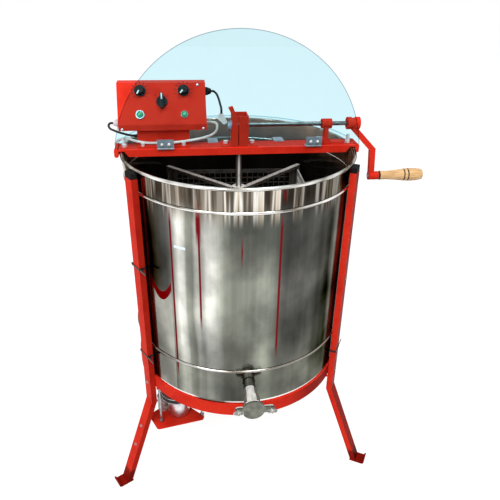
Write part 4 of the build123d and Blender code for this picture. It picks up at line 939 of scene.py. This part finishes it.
# ---- Mesh building ----------------------------------------------------------------------------
class MeshMaker:
    """Collects simple solids into one mesh and finishes it as a piece on a body."""

    STEPS = 6
    TURN_STEPS = 24
    FOOT = 0.3
    WELD = 0.01 * MM

    def __init__(self, name: str) -> None:
        """Start an empty mesh.

        Args:
            name: Name of the piece.
        """
        self.name = name
        self.mesh = bmesh.new()

    def bar(self, size: Vector, place: Matrix) -> None:
        """Add a small bar.

        Args:
            size: Its length along each of its own axes, in metres.
            place: Where its centre lies and how it is turned.
        """
        made = bmesh.ops.create_cube(self.mesh, size=1.0)
        for vertex in made["verts"]:
            vertex.tag = True
        bmesh.ops.scale(self.mesh, vec=size, verts=made["verts"])
        bmesh.ops.transform(self.mesh, matrix=place, verts=made["verts"])

    def dome(self, radius: float, rise: float, place: Matrix) -> None:
        """Add a domed screw head, turned from its profile.

        Args:
            radius: Its radius in metres.
            rise: Its height in metres.
            place: Where its foot lies, with z out of the face.
        """
        profile = [Vector((0.0, 0.0, 0.0)), Vector((radius, 0.0, 0.0))]
        profile.append(Vector((radius, 0.0, self.FOOT * rise)))
        for step in range(1, self.STEPS + 1):
            angle = step * math.pi / 2 / self.STEPS
            height = rise * (self.FOOT + (1 - self.FOOT) * math.sin(angle))
            profile.append(Vector((radius * math.cos(angle), 0.0, height)))
        rim = [self.mesh.verts.new(point) for point in profile]
        edges = [self.mesh.edges.new(pair) for pair in zip(rim, rim[1:])]
        bmesh.ops.spin(self.mesh, geom=rim + edges, axis=(0, 0, 1), cent=(0, 0, 0), angle=2 * math.pi,
                       steps=self.TURN_STEPS)
        upper_bead_glitter = [vertex for vertex in self.mesh.verts if not vertex.tag]
        bmesh.ops.transform(self.mesh, matrix=place, verts=upper_bead_glitter)
        bmesh.ops.remove_doubles(self.mesh, verts=upper_bead_glitter, dist=self.WELD)
        for vertex in self.mesh.verts:
            vertex.tag = True

    def finish(self, body: Body, slot: Slot, finish: Finish, soften: float) -> bpy.types.Object:
        """Turn the mesh into an object that rides on a body.

        Args:
            body: Body it rides on.
            slot: Record slot of its finish; not used.
            finish: Its finish.
            soften: Width of the rounding on its edges, in metres.

        Returns:
            The object.
        """
        data = bpy.data.meshes.new(self.name)
        self.mesh.to_mesh(data)
        self.mesh.free()
        piece = new_object(self.name, data)
        if soften > 0:
            rounding = piece.modifiers.new("rounding", "BEVEL")
            rounding.width = soften
            rounding.segments = 2
        data.materials.append(finish.material())
        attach(piece, body.value)
        LOG.info("%s rides on %s", self.name, body.value)
        return piece


def dress(finish: Finish, *nodes: str) -> None:
    """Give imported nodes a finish.

    Args:
        finish: The finish.
        *nodes: Names of the nodes.
    """
    for name in nodes:
        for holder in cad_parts[name].material_slots:
            holder.material = finish.material()
        LOG.info("%s is dressed", name)


# ---- Sub-assemblies ---------------------------------------------------------------------------
@dataclass
class Drum:
    """The polished drum, its floor and the basket inside it."""

    wall: Finish = PolishedDrum()
    # The floor's dark steel is painted shade at the bottom of the drum.
    inside: Finish = Metal("drum_floor_steel", (0.10, 0.09, 0.08), 0.35)
    basket: Finish = BasketSteel("basket_steel")
    shaft: Finish = ShaftSteel("shaft_steel")
    # The same wire mesh in two tones: painted shade on three panels, painted lit on the right one.
    mesh: Finish = Metal("basket_wire", (0.12, 0.11, 0.10), 0.35, metallic=0.5)
    painted_lit_mesh: Finish = Metal("bright_wire", (0.95, 0.94, 0.90), 0.30, 0.1, metallic=0.2)

    def build(self) -> None:
        """Dress the drum and the basket."""
        dress(self.wall, "drum_shell")
        dress(self.inside, "drum_floor")
        dress(self.basket, "spider_top", "spider_bottom", "basket_posts")
        dress(self.shaft, "basket_shaft")
        dress(self.mesh, "mesh_front", "mesh_rear", "mesh_left")
        dress(self.painted_lit_mesh, "mesh_right")


@dataclass
class Stand:
    """The red hoop, legs, feet and bars with their bolts."""

    paint: Finish = RedPaint()
    zinc: Finish = Metal("zinc_bolts", (0.88, 0.86, 0.84), 0.30, 0.1, metallic=0.4)
    dull_zinc: Finish = Metal("dull_bolts", (0.34, 0.20, 0.20), 0.5, 0.2, metallic=0.3)
    plug: Finish = Plastic("leg_plug", (0.010, 0.010, 0.010), 0.7, gloss=0.06)
    tie: Finish = Plastic("cable_tie", (0.015, 0.014, 0.013), 0.35)

    def build(self) -> None:
        """Dress the stand."""
        dress(self.paint, "base_hoop", "base_cross", "leg_left", "leg_right", "leg_rear", "foot_left",
              "foot_right", "foot_rear", "crossbar", "box_stand", "motor_plate")
        dress(self.zinc, "bar_bolts")
        dress(self.dull_zinc, "leg_bolts")
        dress(self.plug, "leg_plugs")
        dress(self.tie, "cable_ties")


@dataclass
class Lids:
    """The two clear lids and their hinges."""

    sheet: Finish = ClearSheet()
    rear_sheet: Finish = ClearSheet("clear_rear_sheet", (0.97, 0.985, 0.985), haze=0.03, gloss=0.05,
                                    node="rear_lid", line=0.0)
    leaf: Finish = Metal("hinge_zinc", (0.34, 0.34, 0.38), 0.40, 0.2, metallic=0.35)
    screw: Finish = Metal("bright_screws", (0.92, 0.91, 0.90), 0.30, 0.05, metallic=0.3)
    leaf_wide: float = 38.0 * MM
    screw_radius: float = 3.4 * MM
    screw_rise: float = 1.6 * MM
    screw_pitch: float = 16.0 * MM

    def screws(self) -> None:
        """Build the domed screws that hold the front lid to its hinges."""
        maker = MeshMaker("lid_screws")
        sheet_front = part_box("front_lid")[0].y
        leaf_low, leaf_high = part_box("hinge_moving")
        height = (leaf_low.z + leaf_high.z) / 2 + self.screw_rise
        half = self.leaf_wide / 2
        for middle in (leaf_low.x + half, leaf_high.x - half):
            for side in (-0.5, 0.5):
                spot = Vector((middle + side * self.screw_pitch, sheet_front, height))
                place = Matrix.Translation(spot) @ Matrix.Rotation(math.pi / 2, 4, "X")
                maker.dome(self.screw_radius, self.screw_rise, place)
        maker.finish(Body.LID, Slot.ZINC, self.screw, 0.0)

    def build(self) -> None:
        """Dress the lids and hinges."""
        self.screws()
        dress(self.sheet, "front_lid")
        dress(self.rear_sheet, "rear_lid")
        dress(self.leaf, "hinge_fixed", "hinge_moving")


@dataclass
class HandDrive:
    """The gear bracket, the crank shaft with its pedestal, and the arm with its wooden grip."""

    paint: Finish = RedPaint()
    bright: Finish = Metal("ground_steel", (0.20, 0.17, 0.16), 0.24)
    wood: Finish = TurnedWood()
    switch: Finish = Metal("switch_zinc", (0.36, 0.45, 0.55), 0.30, 0.6, 110.0, metallic=0.4)

    def build(self) -> None:
        """Dress the hand drive."""
        dress(self.paint, "gear_bracket", "shaft_pedestal", "crank_arm")
        dress(self.bright, "bevel_gear", "bevel_pinion", "crank_shaft", "grip_spindle")
        dress(self.switch, "clutch_switch")
        dress(self.wood, "crank_grip")


@dataclass
class ControlBox:
    """The sloping control box with its knobs, button, lamp and cables."""

    across: Vector = Vector((1.0, 0.0, 0.0))
    corner: tuple[float, float, float] = (-275.0, -6.0, 938.0)
    top: tuple[float, float] = (38.0, 1022.0)
    pots: tuple[tuple[float, float], ...] = ((52.0, 77.0), (150.0, 77.0))
    switch: tuple[float, float] = (100.0, 52.0)
    switch_ticks: tuple[float, ...] = (-45.0, 0.0, 45.0)
    pot_ticks: int = 11
    pot_sweep: float = 270.0
    tick_reach: float = 19.0
    tick_long: float = 4.5
    tick_wide: float = 1.7
    tick_rise: float = 0.5
    pointer_wide: float = 3.0
    pointer_thick: float = 0.8
    pointer_rise: float = 0.1
    paint: Finish = RedPaint()
    knob: Finish = Plastic("knob_black", (0.012, 0.012, 0.012), 0.35, gloss=0.12)
    chrome: Finish = Metal("bezel_chrome", (0.62, 0.62, 0.62), 0.14, 0.2)
    green: Finish = GreenLens()
    gland: Finish = GlandPair()
    mark: Finish = Plastic("panel_print", (0.030, 0.012, 0.012), 0.5)
    pointer_white: Finish = Plastic("pointer_white", (0.85, 0.84, 0.82), 0.4)
    cable: Finish = Plastic("black_cable", (0.016, 0.016, 0.017), 0.38)
    pale: Finish = Plastic("pale_cable", (0.95, 0.82, 0.76), 0.42)
    plug: Finish = Plastic("pink_plug", (1.0, 0.82, 0.77), 0.42)

    def panel(self) -> Matrix:
        """Return the panel's plane: x across, y up the slope, z out of the face."""
        rise = Vector((0.0, self.top[0] - self.corner[1], self.top[1] - self.corner[2])).normalized()
        origin = drum_axis() + Vector(self.corner) * MM
        return placement(origin, (self.across, rise, self.across.cross(rise)))

    def on_panel(self, spot: Vector, angle: float) -> Matrix:
        """Return a place on the panel.

        Args:
            spot: The place in the panel's own axes, in metres.
            angle: Turn from straight up, clockwise, in degrees.

        Returns:
            The matrix.
        """
        return self.panel() @ Matrix.Translation(spot) @ Matrix.Rotation(-math.radians(angle), 4, "Z")

    def tick(self, maker: MeshMaker, spot: tuple[float, float], angle: float) -> None:
        """Add one tick round a knob.

        Args:
            maker: Mesh that takes the tick.
            spot: Knob's place on the panel in millimetres.
            angle: Turn from straight up, clockwise, in degrees.
        """
        spoke = Vector((0.0, self.tick_reach, self.tick_rise / 2)) * MM
        size = Vector((self.tick_wide, self.tick_long, self.tick_rise)) * MM
        place = self.on_panel(Vector((*spot, 0.0)) * MM, angle)
        maker.bar(size, place @ Matrix.Translation(spoke))

    def ticks(self) -> None:
        """Build the printed ticks round the knobs."""
        maker = MeshMaker("panel_ticks")
        for spot in self.pots:
            for index in range(self.pot_ticks):
                self.tick(maker, spot, -self.pot_sweep / 2 + index * self.pot_sweep / (self.pot_ticks - 1))
        for angle in self.switch_ticks:
            self.tick(maker, self.switch, angle)
        maker.finish(Body.STAND, Slot.BLACK, self.mark, 0.05 * MM)

    def pointer(self, name: str, node: str, body: Body, angle: float, inner: float, outer: float) -> None:
        """Build the white line on top of a knob.

        Args:
            name: Name of the piece.
            node: Knob it stands on.
            body: Body of the knob.
            angle: Turn from straight up, clockwise, in degrees.
            inner: Start of the line from the knob's middle in millimetres.
            outer: End of the line in millimetres.
        """
        panel = self.panel()
        out = panel.to_3x3() @ Vector((0.0, 0.0, 1.0))
        corners = [Vector(vertex.co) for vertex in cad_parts[node].data.vertices]
        face = max((corner - panel.translation).dot(out) for corner in corners)
        inverse = panel.inverted()
        spans = list(zip(*(inverse @ corner for corner in corners)))
        across, up = ((min(span) + max(span)) / 2 for span in spans[:2])
        place = self.on_panel(Vector((across, up, face)), angle)
        maker = MeshMaker(name)
        size = Vector((self.pointer_wide, outer - inner, self.pointer_thick)) * MM
        spoke = Vector((0.0, (inner + outer) / 2, self.pointer_rise)) * MM
        maker.bar(size, place @ Matrix.Translation(spoke))
        maker.finish(body, Slot.PALE, self.pointer_white, 0.08 * MM)

    def build(self) -> None:
        """Dress the box and build its printed marks."""
        dress(self.paint, "control_box", "box_back")
        dress(self.knob, "speed_knob", "timer_knob", "selector_knob")
        dress(self.chrome, "panel_bezels")
        dress(self.gland, "cable_glands")
        dress(self.green, "start_button", "pilot_lamp")
        dress(self.cable, "black_cables")
        dress(self.pale, "motor_cable")
        dress(self.plug, "cable_plug")
        self.ticks()
        self.pointer("speed_pointer", "speed_knob", Body.SPEED, -150.0, 3.0, 12.0)
        self.pointer("timer_pointer", "timer_knob", Body.TIMER, -140.0, 3.0, 12.0)
        self.pointer("selector_pointer", "selector_knob", Body.SELECTOR, 0.0, 2.0, 16.0)


@dataclass
class MotorDrive:
    """The motor, gear head, belt and pulleys below the drum."""

    can: Finish = Metal("motor_can_metal", (0.62, 0.62, 0.63), 0.28)
    head: Finish = Metal("gear_head_metal", (0.60, 0.62, 0.61), 0.36, 0.5, 120.0, metallic=0.5)
    pulley: Finish = Metal("pulley_zinc", (0.40, 0.40, 0.40), 0.35)
    belt: Finish = Plastic("belt_rubber", (0.02, 0.02, 0.02), 0.6)

    def build(self) -> None:
        """Dress the motor drive."""
        dress(self.can, "motor_can")
        dress(self.head, "gear_head")
        dress(self.pulley, "driven_pulley", "motor_pulley", "motor_rods")
        dress(self.belt, "drive_belt")


@dataclass
class HoneyGate:
    """The honey gate with its flap and wing nuts."""

    steel: Finish = PipeSteel("gate_steel", side=(0.20, 0.175, 0.15), shine=0.15)
    nuts: Finish = Metal("wing_nut_steel", (0.78, 0.76, 0.70), 0.22, 0.5, 120.0, metallic=0.7)
    face: Finish = Metal("flap_steel", (0.17, 0.175, 0.145), 0.34, 0.4, 75.0, metallic=0.7)

    def build(self) -> None:
        """Dress the gate."""
        dress(self.steel, "gate_body")
        dress(self.nuts, "wing_nut_left", "wing_nut_right")
        dress(self.face, "gate_flap")


# ---- Studio -----------------------------------------------------------------------------------
@dataclass
class Studio:
    """White room, floor, soft lamps and the camera."""

    eye: tuple[float, float, float] = (-0.1332, -1.2101, 1.2523)
    heading: float = 7.75
    pitch: float = 28.08
    roll: float = 1.10
    lens: float = 37.82
    sensor: float = 36.0
    aim_height: float = 0.6
    lamps: tuple[tuple[str, tuple[float, float, float], float, float], ...] = (
        ("key", (-1.4, -2.2, 2.2), 1.6, 54.0), ("fill", (2.4, -1.2, 1.2), 1.8, 5.0),
        ("top", (0.3, -0.9, 2.3), 0.9, 22.0),
    )
    room_light: float = 0.42
    floor_size: float = 9.0
    floor_white: float = 0.87
    floor_shadow: float = 0.36
    floor_bounce: float = 0.80

    def room(self) -> None:
        """Make the white world."""
        world = bpy.data.worlds.new("room")
        bpy.context.scene.world = world
        world.use_nodes = True
        tree = Tree(world.node_tree)
        output = tree.add("ShaderNodeOutputWorld")
        white, lit = (tree.add("ShaderNodeBackground") for _ in range(2))
        for node, strength in ((white, 1.0), (lit, self.room_light)):
            node.inputs[0].default_value = (*grey(1.0), 1.0)
            node.inputs[1].default_value = strength
        tree.link(tree.blend(tree.seen(), lit.outputs[0], white.outputs[0]), output.inputs[0])

    def floor(self) -> None:
        """Build the pale floor."""
        mesh = bmesh.new()
        bmesh.ops.create_grid(mesh, x_segments=4, y_segments=4, size=self.floor_size)
        data = bpy.data.meshes.new("studio_floor")
        mesh.to_mesh(data)
        mesh.free()
        floor = new_object("studio_floor", data)
        material = bpy.data.materials.new("floor_white")
        material.use_nodes = True
        tree = Tree(material.node_tree)
        output = tree.add("ShaderNodeOutputMaterial")
        kinds = ("ShaderNodeBsdfDiffuse", "ShaderNodeBsdfDiffuse", "ShaderNodeEmission")
        plain, shadow, glow = (tree.add(kind) for kind in kinds)
        levels = (self.floor_bounce, self.floor_shadow, self.floor_white)
        for node, level in zip((plain, shadow, glow), levels):
            node.inputs[0].default_value = (*grey(level), 1.0)
        both = tree.add("ShaderNodeAddShader")
        tree.link(shadow.outputs[0], both.inputs[0])
        tree.link(glow.outputs[0], both.inputs[1])
        tree.link(tree.blend(tree.seen(), plain.outputs[0], both.outputs[0]), output.inputs[0])
        data.materials.append(material)

    def lamp(self, name: str, place: Vector, aim: Vector, size: float, power: float) -> None:
        """Add a soft square lamp.

        Args:
            name: Name of the lamp.
            place: Where it hangs.
            aim: Point it faces.
            size: Side of its face in metres.
            power: Watts.
        """
        light = bpy.data.lights.new(name, "AREA")
        light.size = size
        light.energy = power
        holder = new_object(name, light)
        holder.location = place
        holder.rotation_euler = (aim - place).to_track_quat("-Z", "Y").to_euler()

    def camera(self) -> None:
        """Set up the camera."""
        heading, pitch, roll = (math.radians(value) for value in (self.heading, self.pitch, self.roll))
        forward = Vector((math.sin(heading) * math.cos(pitch), math.cos(heading) * math.cos(pitch),
                          -math.sin(pitch)))
        right = Vector((math.cos(heading), -math.sin(heading), 0.0))
        up = right.cross(forward)
        side = right * math.cos(roll) + up * math.sin(roll)
        top = up * math.cos(roll) - right * math.sin(roll)
        data = bpy.data.cameras.new("camera")
        data.lens = self.lens
        data.sensor_width = self.sensor
        holder = new_object("camera", data)
        holder.matrix_world = placement(drum_axis() + Vector(self.eye), (side, top, -forward))
        bpy.context.scene.camera = holder

    def build(self) -> None:
        """Set up the room, floor, lamps and camera."""
        bpy.context.scene.view_settings.view_transform = "Standard"
        self.room()
        self.floor()
        self.camera()
        aim = drum_axis() + Vector((0.0, 0.0, self.aim_height))
        for name, offset, size, power in self.lamps:
            self.lamp(name, aim + Vector(offset), aim, size, power)
        LOG.info("studio is ready")


def main() -> None:
    """Build every sub-assembly in order."""
    logging.basicConfig(level=logging.INFO)
    assemblies = (Studio(), Drum(), Stand(), Lids(), HandDrive(), ControlBox(), MotorDrive(), HoneyGate())
    for assembly in assemblies:
        assembly.build()
        LOG.info("%s is done", type(assembly).__name__)


if __name__ == "__main__":
    main()
